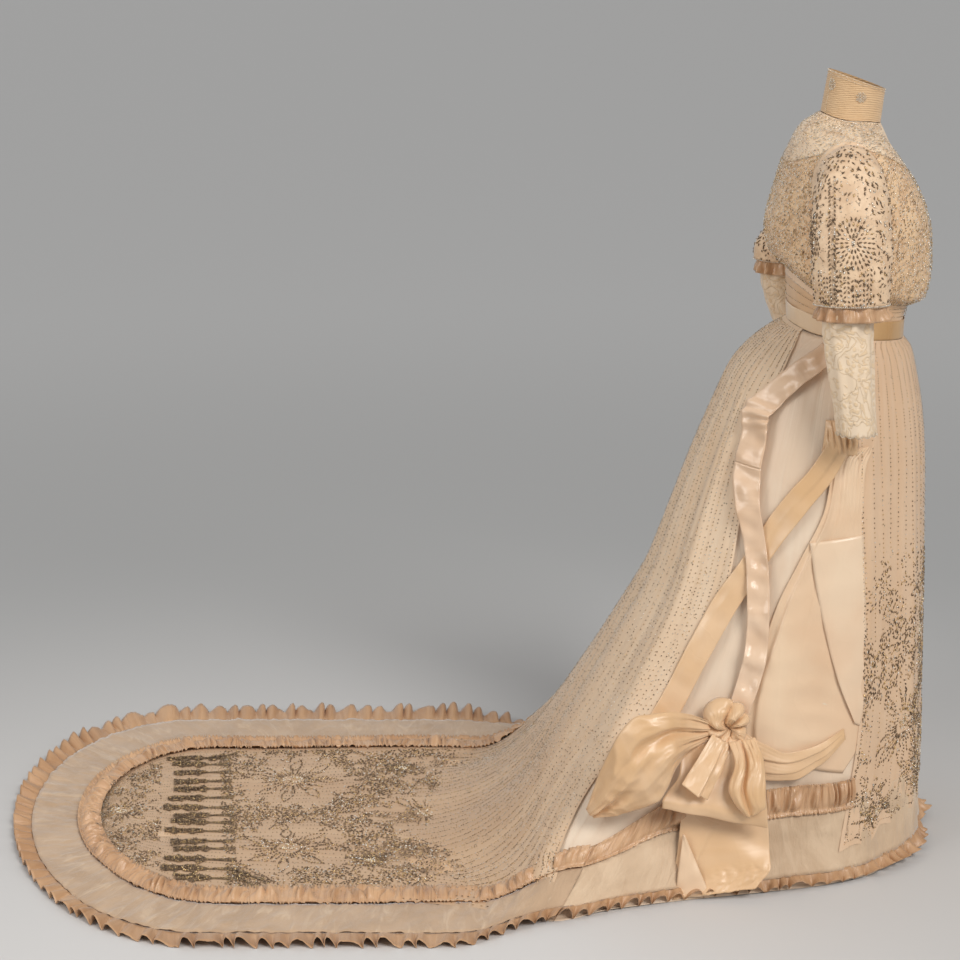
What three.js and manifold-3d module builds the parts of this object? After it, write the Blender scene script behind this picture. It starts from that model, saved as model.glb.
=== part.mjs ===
// A trained wedding dress of about 1908, standing hollow on its own lines.
// Millimetres, +Z up, the front facing -Y and the wearer's right at -X.
// Every piece of cloth is a closed wall between two offsets of a shared surface, so pieces
// that lie on each other keep even gaps. Heights are above the floor until the last group,
// which puts the origin where the wearer's shoulders hold the dress.
import * as THREE from 'three';
import { mergeVertices } from 'three/addons/utils/BufferGeometryUtils.js';
import Module from 'manifold-3d';

const wasm = await Module();
wasm.setup();

// ---- driving dimensions -------------------------------------------------------------------
const SHOULDER_HEIGHT = 1360;      // where the dress is held, above the floor
const CLOTH = 1.5;                 // wall thickness of one layer of cloth
const SEAM = 0.3;                  // gap between pieces at a seam
const LAYER_1 = [0.3, 1.8];        // bands and taffeta that lie on the skirt
const LAYER_2 = [2.1, 3.6];        // beaded net over those
const LAYER_3 = [3.9, 5.4];        // the long ribbon over the net
const LAYER_4 = [5.7, 7.2];        // ribbons that cross it
const TRAIN = { front: 578, skew: 0.12, taper: 0.92 };   // where its sides begin, and how far its tail leans
// The edges of the train's trimmings: half width, where the sides begin to round, and the tail.
const TRAIN_EDGE = {
  frill: [570, 1252, 1617], band: [513, 1252, 1580], ruche: [402, 1215, 1490], net: [343, 1205, 1447],
};
const ARMHOLE = { y: 32, z: 1280, halfDepth: 62, halfHeight: 78 };
const SLEEVE_STEPS = 16;           // corners of the armhole and of each sleeve ring

// Body rings, neck to waist: where each passes the front, the side and the back.
const BODY_COLUMNS = ['frontY', 'frontZ', 'sideX', 'sideY', 'sideZ', 'backY', 'backZ'];
const BODY_ROWS = [
  [-46, 1380, 56, 8, 1388, 64, 1400],       // 0 neck seam
  [-66, 1340, 98, 14, 1374, 100, 1372],     // 1 yoke
  [-98, 1292, 150, 26, 1350, 126, 1312],    // 2 lower edge of the yoke, shoulder tip
  [-132, 1228, 166, 32, 1290, 143, 1252],   // 3 chest
  [-147, 1170, 164, 30, 1215, 157, 1195],   // 4 underarm
  [-149, 1112, 154, 22, 1135, 150, 1150],   // 5 fullest part of the pouched front
  [-140, 1060, 143, 14, 1084, 130, 1128],   // 6 where the pouch turns under
  [-112, 1046, 131, 8, 1066, 119, 1119],    // 7 hem of the bodice
  [-109, 1034, 129, 6, 1050, 117, 1084],    // 8 lower edge of the white ribbon
  [-106, 1018, 129, 5, 1032, 115, 1047],    // 9 upper edge of the belt
  [-104, 982.3, 130, 4, 997.3, 112, 1012.3], // 10 waist seam
];
const BODY_ROW = { neck: 0, yokeHem: 2, bodiceHem: 7, ribbonHem: 8, beltTop: 9, waist: 10 };

// Skirt rings, waist to hem. spread runs from 0, a plain oval, to 1, the outline on the floor.
const SKIRT_COLUMNS = ['frontZ', 'backZ', 'frontY', 'backY', 'side', 'spread'];
const SKIRT_ROWS = [
  [982, 1012, -104, 112, 130, 0],
  [960, 975, -118, 164, 150, 0],
  [915, 925, -130, 208, 172, 0.02],
  [850, 850, -143, 240, 192, 0.05],
  [760, 755, -153, 278, 213, 0.10],
  [650, 640, -158, 319, 238, 0.20],
  [540, 520, -162, 362, 266, 0.32],
  [430, 390, -165, 431, 298, 0.45],
  [320, 250, -168, 510, 335, 0.60],
  [235, 130, -171, 583, 366, 0.74],
  [165, 60, -173, 640, 395, 0.84],
  [120, 42, -174, 655, 412, 0.89],
  [32, 12, -178, 705, 453, 0.98],
  [2, 2, -180, 720, 470, 1],
];
const SKIRT_ROW = { waist: 0, hip: 3, foldsFull: 10, bandTop: 10, foldsEase: 11, frillTop: 12, hem: 13 };

// The hem on the floor, from the centre front round to the centre back. at is the share of the
// half round, the same at every height, so a column keeps its place from waist to hem.
const HEM_COLUMNS = ['at', 'x', 'y'];
const HEM_OUTLINE = [
  [0, 0, -180], [0.12, 110, -163], [0.24, 205, -118], [0.36, 272, -45], [0.48, 318, 40],
  [0.56, 348, 150], [0.64, 380, 300], [0.70, 415, 430], [0.76, 470, 560], [0.82, 455, 630],
  [0.90, 270, 695], [1, 0, 720],
];
// Where the skirt's columns stand, and how far each one lies out of the plain surface at the hem.
const SKIRT_STEPS = [0, 0.1, 0.2, 0.3, 0.38, 0.46, 0.52, 0.58, 0.64, 0.7, 0.76, 0.82, 0.88, 0.94, 1];
const FOLD_DEPTH = [6, -5, 7, -6, 5, 2, -3, 3, -4, 8, -8, 9, -7, 9, -8];
const SIDE_SEAM = { front: 0.38, back: 0.76 };
const TRIM_END = 0.76;             // share of the half round where the skirt's trimmings end
const NET_START = { front: 0.52, back: 0.58 };    // columns that the two net panels are cut from

const COLOURS = {
  satin: 0xdeb88c, ivory: 0xe6d3b4, tulle: 0xd8bd96, beaded: 0xc9ac80, lace: 0xe4cba2,
  taffeta: 0xe2bb8d, white: 0xf0e2d0, tassel: 0x4a4238,
};

// ---- small tools --------------------------------------------------------------------------
const V = (x, y, z) => new THREE.Vector3(x, y, z);
const mix = (a, b, f) => a + (b - a) * f;
const range = (count) => Array.from({ length: count }, (_, i) => i);

function named(columns, values) {
  return Object.fromEntries(columns.map((column, i) => [column, values[i]]));
}

// Reads a column of a table at a place between its rows, in straight steps.
function between(table, at, key, value) {
  const last = table.length - 1;
  let i = 0;
  while (i < last - 1 && table[i + 1][key] < at) i += 1;
  const low = table[i];
  const high = table[i + 1];
  const f = THREE.MathUtils.clamp((at - low[key]) / (high[key] - low[key]), 0, 1);
  return mix(low[value], high[value], f);
}

// ---- walls --------------------------------------------------------------------------------
// Normals of a grid of points, rows by columns, averaged over the faces that meet there.
function gridNormals(points, around) {
  const rows = points.length;
  const columns = points[0].length;
  return points.map((row, i) => row.map((_, j) => {
    const left = around ? (j + columns - 1) % columns : Math.max(j - 1, 0);
    const right = around ? (j + 1) % columns : Math.min(j + 1, columns - 1);
    const across = points[i][right].clone().sub(points[i][left]);
    const down = points[Math.min(i + 1, rows - 1)][j].clone().sub(points[Math.max(i - 1, 0)][j]);
    return across.cross(down).normalize();
  }));
}

// Turns a surface that is inside out, so that every solid has its faces pointing out.
function faceOut(positions, index) {
  let volume = 0;
  const corner = (k) => V(positions[3 * k], positions[3 * k + 1], positions[3 * k + 2]);
  for (let t = 0; t < index.length; t += 3) {
    volume += corner(index[t]).dot(corner(index[t + 1]).cross(corner(index[t + 2])));
  }
  if (volume < 0) {
    for (let t = 0; t < index.length; t += 3) [index[t + 1], index[t + 2]] = [index[t + 2], index[t + 1]];
  }
  const geometry = new THREE.BufferGeometry();
  geometry.setAttribute('position', new THREE.Float32BufferAttribute(positions, 3));
  geometry.setIndex(index);
  return geometry;
}

// A closed wall between two grids of points of the same size. around joins its last column to its first.
function wallBetween(inner, outer, around = false) {
  const rows = inner.length;
  const columns = inner[0].length;
  const positions = [...inner.flat(), ...outer.flat()].flatMap((p) => [p.x, p.y, p.z]);
  const at = (side, i, j) => side * rows * columns + i * columns + (j % columns);
  const index = [];
  const quad = (a, b, c, d) => index.push(a, b, c, a, c, d);
  const steps = around ? columns : columns - 1;
  for (let j = 0; j < steps; j += 1) {
    for (let i = 0; i < rows - 1; i += 1) {
      quad(at(0, i, j), at(0, i, j + 1), at(0, i + 1, j + 1), at(0, i + 1, j));
      quad(at(1, i, j), at(1, i + 1, j), at(1, i + 1, j + 1), at(1, i, j + 1));
    }
    quad(at(1, 0, j), at(1, 0, j + 1), at(0, 0, j + 1), at(0, 0, j));
    quad(at(0, rows - 1, j), at(0, rows - 1, j + 1), at(1, rows - 1, j + 1), at(1, rows - 1, j));
  }
  if (!around) {
    const end = columns - 1;
    for (let i = 0; i < rows - 1; i += 1) {
      quad(at(0, i, 0), at(0, i + 1, 0), at(1, i + 1, 0), at(1, i, 0));
      quad(at(1, i, end), at(1, i + 1, end), at(0, i + 1, end), at(0, i, end));
    }
  }
  return faceOut(positions, index);
}

// A wall of one layer of cloth on a grid of points, from offset low to offset high along its normals.
function wallOn(points, [low, high], around = false) {
  const normals = gridNormals(points, around);
  const moved = (offset) => points.map((row, i) => (
    row.map((p, j) => p.clone().addScaledVector(normals[i][j], offset))));
  return wallBetween(moved(low), moved(high), around);
}

// ---- cutting ------------------------------------------------------------------------------
function toSolid(geometry) {
  const bare = geometry.clone();
  for (const name of Object.keys(bare.attributes)) if (name !== 'position') bare.deleteAttribute(name);
  const merged = mergeVertices(bare, 1e-4);
  const mesh = new wasm.Mesh({
    numProp: 3,
    vertProperties: new Float32Array(merged.attributes.position.array),
    triVerts: new Uint32Array(merged.index.array),
  });
  return new wasm.Manifold(mesh);
}

function toGeometry(solid) {
  const mesh = solid.getMesh();
  const geometry = new THREE.BufferGeometry();
  geometry.setAttribute('position', new THREE.BufferAttribute(new Float32Array(mesh.vertProperties), 3));
  geometry.setIndex(new THREE.BufferAttribute(new Uint32Array(mesh.triVerts), 1));
  return geometry;
}

// A prism along X whose outline is given in the side view, as [y, z] corners.
function sidePrism(corners, fromX = -700, toX = 700) {
  const shape = new THREE.Shape(corners.map(([y, z]) => new THREE.Vector2(y, z)));
  const geometry = new THREE.ExtrudeGeometry(shape, { depth: toX - fromX, bevelEnabled: false });
  geometry.applyMatrix4(new THREE.Matrix4().makeBasis(V(0, 1, 0), V(0, 0, 1), V(1, 0, 0)));
  geometry.translate(fromX, 0, 0);
  return toSolid(geometry);
}

const cutTo = (geometry, prism) => toGeometry(toSolid(geometry).intersect(prism));
const cutAway = (geometry, prism) => toGeometry(toSolid(geometry).subtract(prism));

// The outline of a ribbon of even width along a line of [y, z] points.
function ribbonOutline(line, width) {
  const points = line.map(([y, z]) => new THREE.Vector2(y, z));
  const edge = (side) => points.map((p, i) => {
    const next = points[Math.min(i + 1, points.length - 1)];
    const along = next.clone().sub(points[Math.max(i - 1, 0)]).normalize();
    return [p.x - side * along.y * width / 2, p.y + side * along.x * width / 2];
  });
  return [...edge(1), ...edge(-1).reverse()];
}

// ---- the body surface ---------------------------------------------------------------------
const body = BODY_ROWS.map((row) => named(BODY_COLUMNS, row));
const BODY_STEPS = 24;

// A body ring passes its front, side and back points: x goes with the sine of the turn from the
// front, y with its cosine, and the height with the cosine squared.
function bodyPoint(ring, turn) {
  const cosine = Math.cos(turn);
  const end = cosine > 0 ? { y: ring.frontY, z: ring.frontZ } : { y: ring.backY, z: ring.backZ };
  const x = -ring.sideX * Math.sin(turn);
  return V(x, mix(ring.sideY, end.y, Math.abs(cosine)), mix(ring.sideZ, end.z, cosine * cosine));
}

const bodyTurns = range(BODY_STEPS).map((j) => (2 * Math.PI * j) / BODY_STEPS);
const bodyGrid = body.map((ring) => bodyTurns.map((turn) => bodyPoint(ring, turn)));
const bodyNormals = gridNormals(bodyGrid, true);

// Takes the rows and columns of a surface that a piece covers, pulls its open edges in by half a
// seam, and moves it out by an offset that may change from row to row.
function piece(grid, normals, rows, columns, layer) {
  const count = grid[0].length;
  const around = columns[1] - columns[0] === count;
  const width = columns[1] - columns[0] + (around ? 0 : 1);
  const wrap = (j) => ((j % count) + count) % count;
  const layerAt = typeof layer === 'function' ? layer : () => layer;
  const moved = (side) => range(rows[1] - rows[0] + 1).map((k) => {
    const i = rows[0] + k;
    return range(width).map((m) => {
      const j = columns[0] + m;
      const p = grid[i][wrap(j)].clone().addScaledVector(normals[i][wrap(j)], layerAt(i)[side]);
      const inward = [];
      if (i === rows[0]) inward.push(grid[i + 1][wrap(j)]);
      if (i === rows[1]) inward.push(grid[i - 1][wrap(j)]);
      if (!around && m === 0) inward.push(grid[i][wrap(j + 1)]);
      if (!around && m === width - 1) inward.push(grid[i][wrap(j - 1)]);
      for (const q of inward) p.addScaledVector(q.clone().sub(grid[i][wrap(j)]).normalize(), SEAM / 2);
      return p;
    });
  });
  return wallBetween(moved(0), moved(1), around);
}

const bodyPiece = (rows, columns, layer) => piece(bodyGrid, bodyNormals, rows, columns, layer);

function armholePrism() {
  return sidePrism(range(SLEEVE_STEPS).map((k) => {
    const a = (2 * Math.PI * k) / SLEEVE_STEPS;
    return [ARMHOLE.y + ARMHOLE.halfDepth * Math.cos(a), ARMHOLE.z + ARMHOLE.halfHeight * Math.sin(a)];
  }));
}

// ---- the skirt surface --------------------------------------------------------------------
const skirt = SKIRT_ROWS.map((row) => named(SKIRT_COLUMNS, row));
const hem = HEM_OUTLINE.map((row) => named(HEM_COLUMNS, row));
const hemRing = skirt[skirt.length - 1];
const HEM_LENGTH = hemRing.backY - hemRing.frontY;

// A skirt ring blends the plain oval of the waist into the outline on the floor.
function skirtPoint(ring, at) {
  const share = Math.abs(at);
  const turn = Math.PI * share;
  const ovalY = (1 - Math.cos(turn)) / 2;
  const x = mix(Math.sin(turn), between(hem, share, 'at', 'x') / hemRing.side, ring.spread);
  const y = mix(ovalY, (between(hem, share, 'at', 'y') - hemRing.frontY) / HEM_LENGTH, ring.spread);
  const cosine = Math.cos(turn);
  const z = mix(ring.frontZ, ring.backZ, (1 - cosine * Math.abs(cosine)) / 2);
  return V(-Math.sign(at) * ring.side * x, mix(ring.frontY, ring.backY, y), z);
}

const skirtSteps = [...SKIRT_STEPS, ...SKIRT_STEPS.slice(1, -1).reverse().map((at) => -at)];
const skirtFolds = [...FOLD_DEPTH, ...FOLD_DEPTH.slice(1, -1).reverse()];

// The folds start below the hip and deepen to just above the hem.
function foldAt(row) {
  const deepening = THREE.MathUtils.smoothstep(row, SKIRT_ROW.hip - 2, SKIRT_ROW.foldsFull);
  return deepening * (row > SKIRT_ROW.foldsEase ? 0.35 : 1);
}

function makeSkirtGrid() {
  const plain = skirt.map((ring) => skirtSteps.map((at) => skirtPoint(ring, at)));
  const normals = gridNormals(plain, true);
  return plain.map((row, i) => row.map((p, j) => {
    const out = V(normals[i][j].x, normals[i][j].y, 0).multiplyScalar(skirtFolds[j] * foldAt(i));
    return p.clone().add(out);
  }));
}

const skirtGrid = makeSkirtGrid();
const skirtNormals = gridNormals(skirtGrid, true);
// At the waist the layers stand side by side, so their seams lie level under the belt.
for (const normal of skirtNormals[SKIRT_ROW.waist]) normal.setZ(0).normalize();
const column = (at) => SKIRT_STEPS.findIndex((step) => Math.abs(step - at) < 1e-6);
const skirtPiece = (rows, columns, layer) => piece(skirtGrid, skirtNormals, rows, columns, layer);
const wholeSkirt = [SKIRT_ROW.waist, SKIRT_ROW.hem];

// Net is gathered into the waist, so its layer starts close to the skirt and lifts off below it.
const gatheredIn = (layer) => (row) => (row === 0 ? LAYER_1 : layer);

// A point of the skirt's surface at a share of the half round and a row, which may lie between
// its columns and rows, moved out by an offset.
function onSkirt(at, row, offset) {
  const share = Math.abs(at);
  const last = SKIRT_STEPS.length - 1;
  const low = Math.min(SKIRT_STEPS.filter((step) => step <= share).length - 1, last - 1);
  const along = low + (share - SKIRT_STEPS[low]) / (SKIRT_STEPS[low + 1] - SKIRT_STEPS[low]);
  const count = skirtSteps.length;
  const place = at < 0 ? count - along : along;
  const j = Math.floor(place);
  const i = Math.min(Math.floor(row), skirtGrid.length - 2);
  const [f, g] = [place - j, row - i];
  const corner = (m, n) => {
    const normal = skirtNormals[m][n % count];
    return skirtGrid[m][n % count].clone().addScaledVector(normal, offset);
  };
  const [a, b, c, d] = [corner(i, j), corner(i, j + 1), corner(i + 1, j + 1), corner(i + 1, j)];
  const [first, second, third, u, v] = f >= g ? [a, b, c, f, g] : [a, d, c, g, f];
  const step = second.clone().sub(first);
  const turn = third.clone().sub(second);
  return first.clone().addScaledVector(step, u).addScaledVector(turn, v);
}

// ---- neck and bodice ----------------------------------------------------------------------
const COLLAR_TOP = { frontY: -52, frontZ: 1441, sideX: 53, sideY: 0, sideZ: 1459, backY: 52, backZ: 1477 };

function makeCollar() {
  const steps = 20;
  const rings = range(3).map((i) => {
    const ring = { ...body[0] };
    for (const key of BODY_COLUMNS) ring[key] = mix(body[0][key], COLLAR_TOP[key], i / 2);
    if (i === 0) for (const key of ['frontZ', 'sideZ', 'backZ']) ring[key] += SEAM + 0.2;
    return range(steps).map((j) => bodyPoint(ring, (2 * Math.PI * j) / steps));
  });
  return wallOn(rings.reverse(), [-CLOTH, 0], true);
}

const quarter = BODY_STEPS / 4;
const frontHalf = [-quarter, quarter];
const backHalf = [quarter, 3 * quarter];

function makeYoke(columns) {
  return cutAway(bodyPiece([BODY_ROW.neck, BODY_ROW.yokeHem], columns, [-CLOTH, 0]), armholePrism());
}

function makeBodice(columns) {
  return cutAway(bodyPiece([BODY_ROW.yokeHem, BODY_ROW.bodiceHem], columns, [-CLOTH, 0]), armholePrism());
}

// Each layer at the midriff lies inside the one above it.
const MIDRIFF_LAYER = [-3.3, -1.8];
const RIBBON_LAYER = [-1.5, -0.3];
const BELT_LAYER = [-1.5, 0.6];

const makeMidriff = () => bodyPiece([BODY_ROW.bodiceHem, BODY_ROW.waist], [0, BODY_STEPS], MIDRIFF_LAYER);
const makeBelt = () => bodyPiece([BODY_ROW.beltTop, BODY_ROW.waist], [0, BODY_STEPS], BELT_LAYER);

const UPPER_RIBBON_START = 7;      // body column where the white ribbon begins on each side

function makeUpperRibbon() {
  const columns = [UPPER_RIBBON_START, BODY_STEPS - UPPER_RIBBON_START];
  return bodyPiece([BODY_ROW.bodiceHem, BODY_ROW.ribbonHem], columns, RIBBON_LAYER);
}

// ---- sleeves ------------------------------------------------------------------------------
// Rings of a sleeve: an outer and an inner point in the front view, and its middle and half
// depth in the side view.
const SLEEVE_COLUMNS = ['outerX', 'outerZ', 'innerX', 'innerZ', 'midY', 'halfDepth'];
const CAP_ROWS = [
  [146, 1357.6, 146, 1202.4, 32, 61.6],
  [171, 1357.6, 171, 1202.4, 32, 61.6],
  [206, 1340, 177, 1194, 33, 66],
  [240, 1292, 181, 1180, 34, 70],
  [262, 1226, 184, 1160, 34, 71],
  [274, 1152, 187, 1126, 33, 70],
  [279, 1086, 189, 1082, 30, 66],
];
const FRILL_ROWS = [
  [271, 1096, 197, 1093, 30, 57.5],
  [276, 1079, 192, 1075, 30, 61],
  [281, 1060, 187, 1058, 29, 66],
];
const LOWER_ROWS = [
  [268.2, 1095, 199.8, 1092, 30, 54.6],
  [268, 1050, 205, 1048, 37, 46],
  [274, 985, 207, 985, 31, 43],
  [279, 915, 211, 915, 22, 38],
  [281, 850, 215, 852, 14, 36],
];

// The left arm is drawn back from the elbow and comes forward again a little below it.
const LEFT_SWING = { from: 1210, over: 110, by: 52, returnFrom: 1060, returnOver: 200, returnBy: 30 };

function swingAt(z) {
  const back = THREE.MathUtils.smoothstep(LEFT_SWING.from - z, 0, LEFT_SWING.over);
  const forward = THREE.MathUtils.smoothstep(LEFT_SWING.returnFrom - z, 0, LEFT_SWING.returnOver);
  return LEFT_SWING.by * back - LEFT_SWING.returnBy * forward;
}

// side is 1 for the wearer's right sleeve and -1 for the left one.
function sleeveGrid(rows, side, steps, wave = () => 0) {
  return rows.map((row, i) => {
    const ring = named(SLEEVE_COLUMNS, row);
    const swing = side > 0 ? 0 : swingAt(ring.outerZ);
    const outer = V(-ring.outerX, ring.midY, ring.outerZ);
    const inner = V(-ring.innerX, ring.midY, ring.innerZ);
    const middle = outer.clone().add(inner).multiplyScalar(0.5);
    const half = outer.clone().sub(middle);
    return range(steps).map((j) => {
      const a = (2 * Math.PI * j) / steps;
      const p = middle.clone().addScaledVector(half, Math.sin(a));
      p.y -= ring.halfDepth * Math.cos(a);
      const out = V(half.x, 0, 0).normalize().multiplyScalar(Math.sin(a)).add(V(0, -Math.cos(a), 0));
      p.addScaledVector(out, wave(i, j));
      return V(side * p.x, p.y + swing, p.z);
    });
  });
}

function sleeveWall(rows, side, steps, wave) {
  const grid = sleeveGrid(rows, side, steps, wave);
  return wallOn(side > 0 ? grid : grid.map((row) => [...row].reverse()), [-CLOTH, 0], true);
}

const makeCap = (side) => sleeveWall(CAP_ROWS, side, SLEEVE_STEPS);
const makeLower = (side) => sleeveWall(LOWER_ROWS, side, SLEEVE_STEPS);

function makeSleeveFrill(side) {
  const depth = [0.8, 3.5, 6];
  return sleeveWall(FRILL_ROWS, side, 20, (i, j) => (j % 2 ? depth[i] : -depth[i]));
}

// ---- skirt trimmings ----------------------------------------------------------------------
// Outlines in the side view, as [y, z]: the front panel lies before its edge, the back one behind.
const FRONT_EDGE = [
  [1, 990], [1, 860], [-1, 716], [-9, 529], [-14, 342], [-15, 150], [10, 50], [-14, 66], [-38, 60],
  [-62, 84], [-86, 80], [-110, 98], [-150, 90],
];
const BACK_EDGE = [
  [96, 1010], [124, 955], [166, 870], [203, 708], [230, 565], [262, 460], [300, 389], [380, 300],
  [470, 213], [545, 90], [575, 36], [590, -10],
];

// Everything behind the back net's front edge, moved forward by a gap.
function behindNet(gap) {
  const edge = BACK_EDGE.map(([y, z]) => [y - gap, z]);
  return sidePrism([...edge, [800, -10], [800, 1060], [96, 1060]]);
}

const trimColumn = column(TRIM_END);
const RUCHE_SPAN = [0.46, 0.76];    // the ruche shows from the front panel's edge to the net's

// Places round the skirt from one column to another, with the space between columns in equal parts,
// so that a finer trimming still bends where the skirt does.
function partsOf(from, to, parts) {
  const steps = SKIRT_STEPS.filter((step) => step >= from - 1e-6 && step <= to + 1e-6);
  const split = (step, i) => range(parts).map((k) => mix(step, steps[i + 1], k / parts));
  return [...steps.slice(0, -1).flatMap(split), to];
}

// The ruche's two edges, as rows of the skirt; they drop a little where the train begins.
const rucheRow = (at) => {
  const drop = THREE.MathUtils.smoothstep(Math.abs(at), 0.66, TRIM_END);
  return [8.95 + 0.25 * drop, 9.75 + 0.2 * drop];
};

function makeBand() {
  return skirtPiece([SKIRT_ROW.bandTop, SKIRT_ROW.frillTop], [-trimColumn, trimColumn], LAYER_1);
}

function makeSkirtRuche(side) {
  const places = partsOf(...RUCHE_SPAN, 3);
  const base = 2 * SEAM;
  const strip = (offset) => range(3).map((i) => places.map((at, j) => {
    const puff = i === 1 ? 4 + 2 * (j % 2) : 0;
    return onSkirt(side * at, mix(...rucheRow(at), i / 2), offset + puff);
  }));
  return cutAway(wallBetween(strip(base), strip(base + CLOTH)), behindNet(SEAM));
}

function makeHemFrill() {
  const half = partsOf(0, TRIM_END, 3);
  const places = [...half.slice(1).reverse().map((at) => -at), ...half];
  const strip = (base) => range(2).map((i) => places.map((at, j) => {
    const wave = i === 1 ? 6 + 6 * (j % 2) : 0;
    return onSkirt(at, i === 0 ? SKIRT_ROW.frillTop + 0.02 : SKIRT_ROW.hem - 0.02, base + wave);
  }));
  return wallBetween(strip(0.4), strip(2.2));
}

// ---- net overskirts -----------------------------------------------------------------------
function makeFrontPanel() {
  const columns = [-column(NET_START.front), column(NET_START.front)];
  const panel = skirtPiece(wholeSkirt, columns, gatheredIn(LAYER_2));
  return cutTo(panel, sidePrism([...FRONT_EDGE, [-300, 90], [-300, 990]]));
}

function makeBackPanel() {
  const first = column(NET_START.back);
  const panel = skirtPiece(wholeSkirt, [first, skirtSteps.length - first], gatheredIn(LAYER_2));
  return cutTo(panel, behindNet(0));
}

// ---- train --------------------------------------------------------------------------------
const TRAIN_GAP = 2.8;             // between the skirt's hem and the cloth of the train
const TRAIN_STEPS = 24;            // round the tail

// The ground that the skirt covers, a little larger all round, as a low block.
function skirtFootprint() {
  const ring = skirtGrid[SKIRT_ROW.hem];
  const outline = ring.map((p, j) => {
    const out = V(skirtNormals[SKIRT_ROW.hem][j].x, skirtNormals[SKIRT_ROW.hem][j].y, 0).normalize();
    return p.clone().addScaledVector(out, TRAIN_GAP);
  });
  const shape = new THREE.Shape(outline.map((p) => new THREE.Vector2(p.x, p.y)));
  const block = new THREE.ExtrudeGeometry(shape, { depth: 60, bevelEnabled: false });
  block.translate(0, 0, -20);
  return toSolid(block);
}

// A train outline: up the straight right side, round the half oval tail and down the left side.
function trainOutline([halfWidth, roundFrom, tail], steps) {
  const straight = 4;
  const side = (x) => range(straight).map((i) => {
    const end = roundFrom + TRAIN.skew * x;
    return V(i === 0 ? TRAIN.taper * x : x, mix(TRAIN.front, end, i / straight), 0);
  });
  const round = range(steps + 1).map((i) => {
    const a = (Math.PI * i) / steps;
    const x = -halfWidth * Math.cos(a);
    return V(x, roundFrom + (tail - roundFrom) * Math.sin(a) + TRAIN.skew * x, 0);
  });
  return [...side(-halfWidth), ...round, ...side(halfWidth).reverse()];
}

// A flat panel of the train inside one outline, from height low to height high.
function trainPanel(size, [low, high]) {
  const shape = new THREE.Shape(trainOutline(size, TRAIN_STEPS).map((p) => new THREE.Vector2(p.x, p.y)));
  const geometry = new THREE.ExtrudeGeometry(shape, { depth: high - low, bevelEnabled: false });
  geometry.translate(0, 0, low);
  return cutAway(geometry, skirtFootprint());
}

// A strip of the train between two outlines; wave gives the height of each row and step.
function trainStrip(inner, outer, rows, steps, wave, thickness) {
  const inside = trainOutline(inner, steps);
  const outside = trainOutline(outer, steps);
  const strip = (base) => range(rows).map((i) => inside.map((p, j) => {
    const q = p.clone().lerp(outside[j], i / (rows - 1));
    q.z = base + wave(i, j);
    return q;
  }));
  return cutAway(wallBetween(strip(0), strip(thickness)), skirtFootprint());
}

const grown = ([halfWidth, roundFrom, tail], by) => [halfWidth + by, roundFrom, tail + by];
const TRAIN_NET_Z = [1.8, 3.3];

const makeTrainSatin = () => trainPanel(grown(TRAIN_EDGE.band, -2), [0, CLOTH]);
const makeTrainNet = () => trainPanel(TRAIN_EDGE.net, TRAIN_NET_Z);

function makeTrainBand() {
  const inner = grown(TRAIN_EDGE.ruche, SEAM / 2);
  const outer = grown(TRAIN_EDGE.band, -SEAM / 2);
  return trainStrip(inner, outer, 2, TRAIN_STEPS, () => TRAIN_NET_Z[0], CLOTH);
}

function makeTrainRuche() {
  const inner = grown(TRAIN_EDGE.net, SEAM);
  const outer = grown(TRAIN_EDGE.ruche, -SEAM / 2);
  const puff = (i, j) => TRAIN_NET_Z[0] + (i === 1 ? 6 + 3 * (j % 2) : 0);
  return trainStrip(inner, outer, 3, TRAIN_STEPS, puff, CLOTH);
}

function makeTrainFrill() {
  const inner = grown(TRAIN_EDGE.band, SEAM / 2);
  return trainStrip(inner, TRAIN_EDGE.frill, 2, 2 * TRAIN_STEPS, (i, j) => (j % 2 ? 1 + 12 * i : 0.5), 2);
}

// The reach of the row of bead tassels across the train.
const TASSELS = { width: 580, length: 146, height: 4.5, y: 1250 };

function makeTasselRow() {
  const geometry = new THREE.BoxGeometry(TASSELS.width, TASSELS.length, TASSELS.height);
  geometry.applyMatrix4(new THREE.Matrix4().makeShear(TRAIN.skew, 0, 0, 0, 0, 0));
  geometry.translate(0, TASSELS.y, TRAIN_NET_Z[1] + SEAM + TASSELS.height / 2);
  return geometry;
}

// ---- side drape and ribbons ---------------------------------------------------------------
const DRAPE_OUTLINE = [
  [6, 812], [40, 812], [60, 702], [104, 609], [140, 534], [166, 460], [191, 389], [201, 317], [150, 262],
  [99, 240], [40, 292], [-2, 345], [-4, 450], [-2, 560], [3, 680],
];
const RIBBON_WIDTH = 46;
const UPPER_RIBBON_LINE = [[45, 978], [72, 958], [105, 930], [134, 899], [170, 868]];
const LONG_RIBBON_LINE = [[172, 893], [179, 765], [180, 675], [180, 595], [175, 496], [171, 410]];
const CROSS_RIBBON_LINE = [
  [26, 806], [61, 752], [105, 680], [140, 639], [175, 600], [203, 540], [248, 458], [296, 395],
];

// A piece cut from a layer over the wearer's right side of the skirt to an outline in the side view.
function cutFromSide(layer, outline) {
  const cloth = skirtPiece([SKIRT_ROW.waist, SKIRT_ROW.bandTop], [0, column(1)], layer);
  return cutTo(cloth, sidePrism(outline, -700, 0));
}

const makeDrape = () => cutFromSide(LAYER_1, DRAPE_OUTLINE);
const makeLongRibbon = () => cutFromSide(LAYER_3, ribbonOutline(LONG_RIBBON_LINE, RIBBON_WIDTH));
const makeUpperStreamer = () => cutFromSide(LAYER_4, ribbonOutline(UPPER_RIBBON_LINE, RIBBON_WIDTH));
const makeCrossRibbon = () => cutFromSide(LAYER_4, ribbonOutline(CROSS_RIBBON_LINE, RIBBON_WIDTH + 10));

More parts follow.
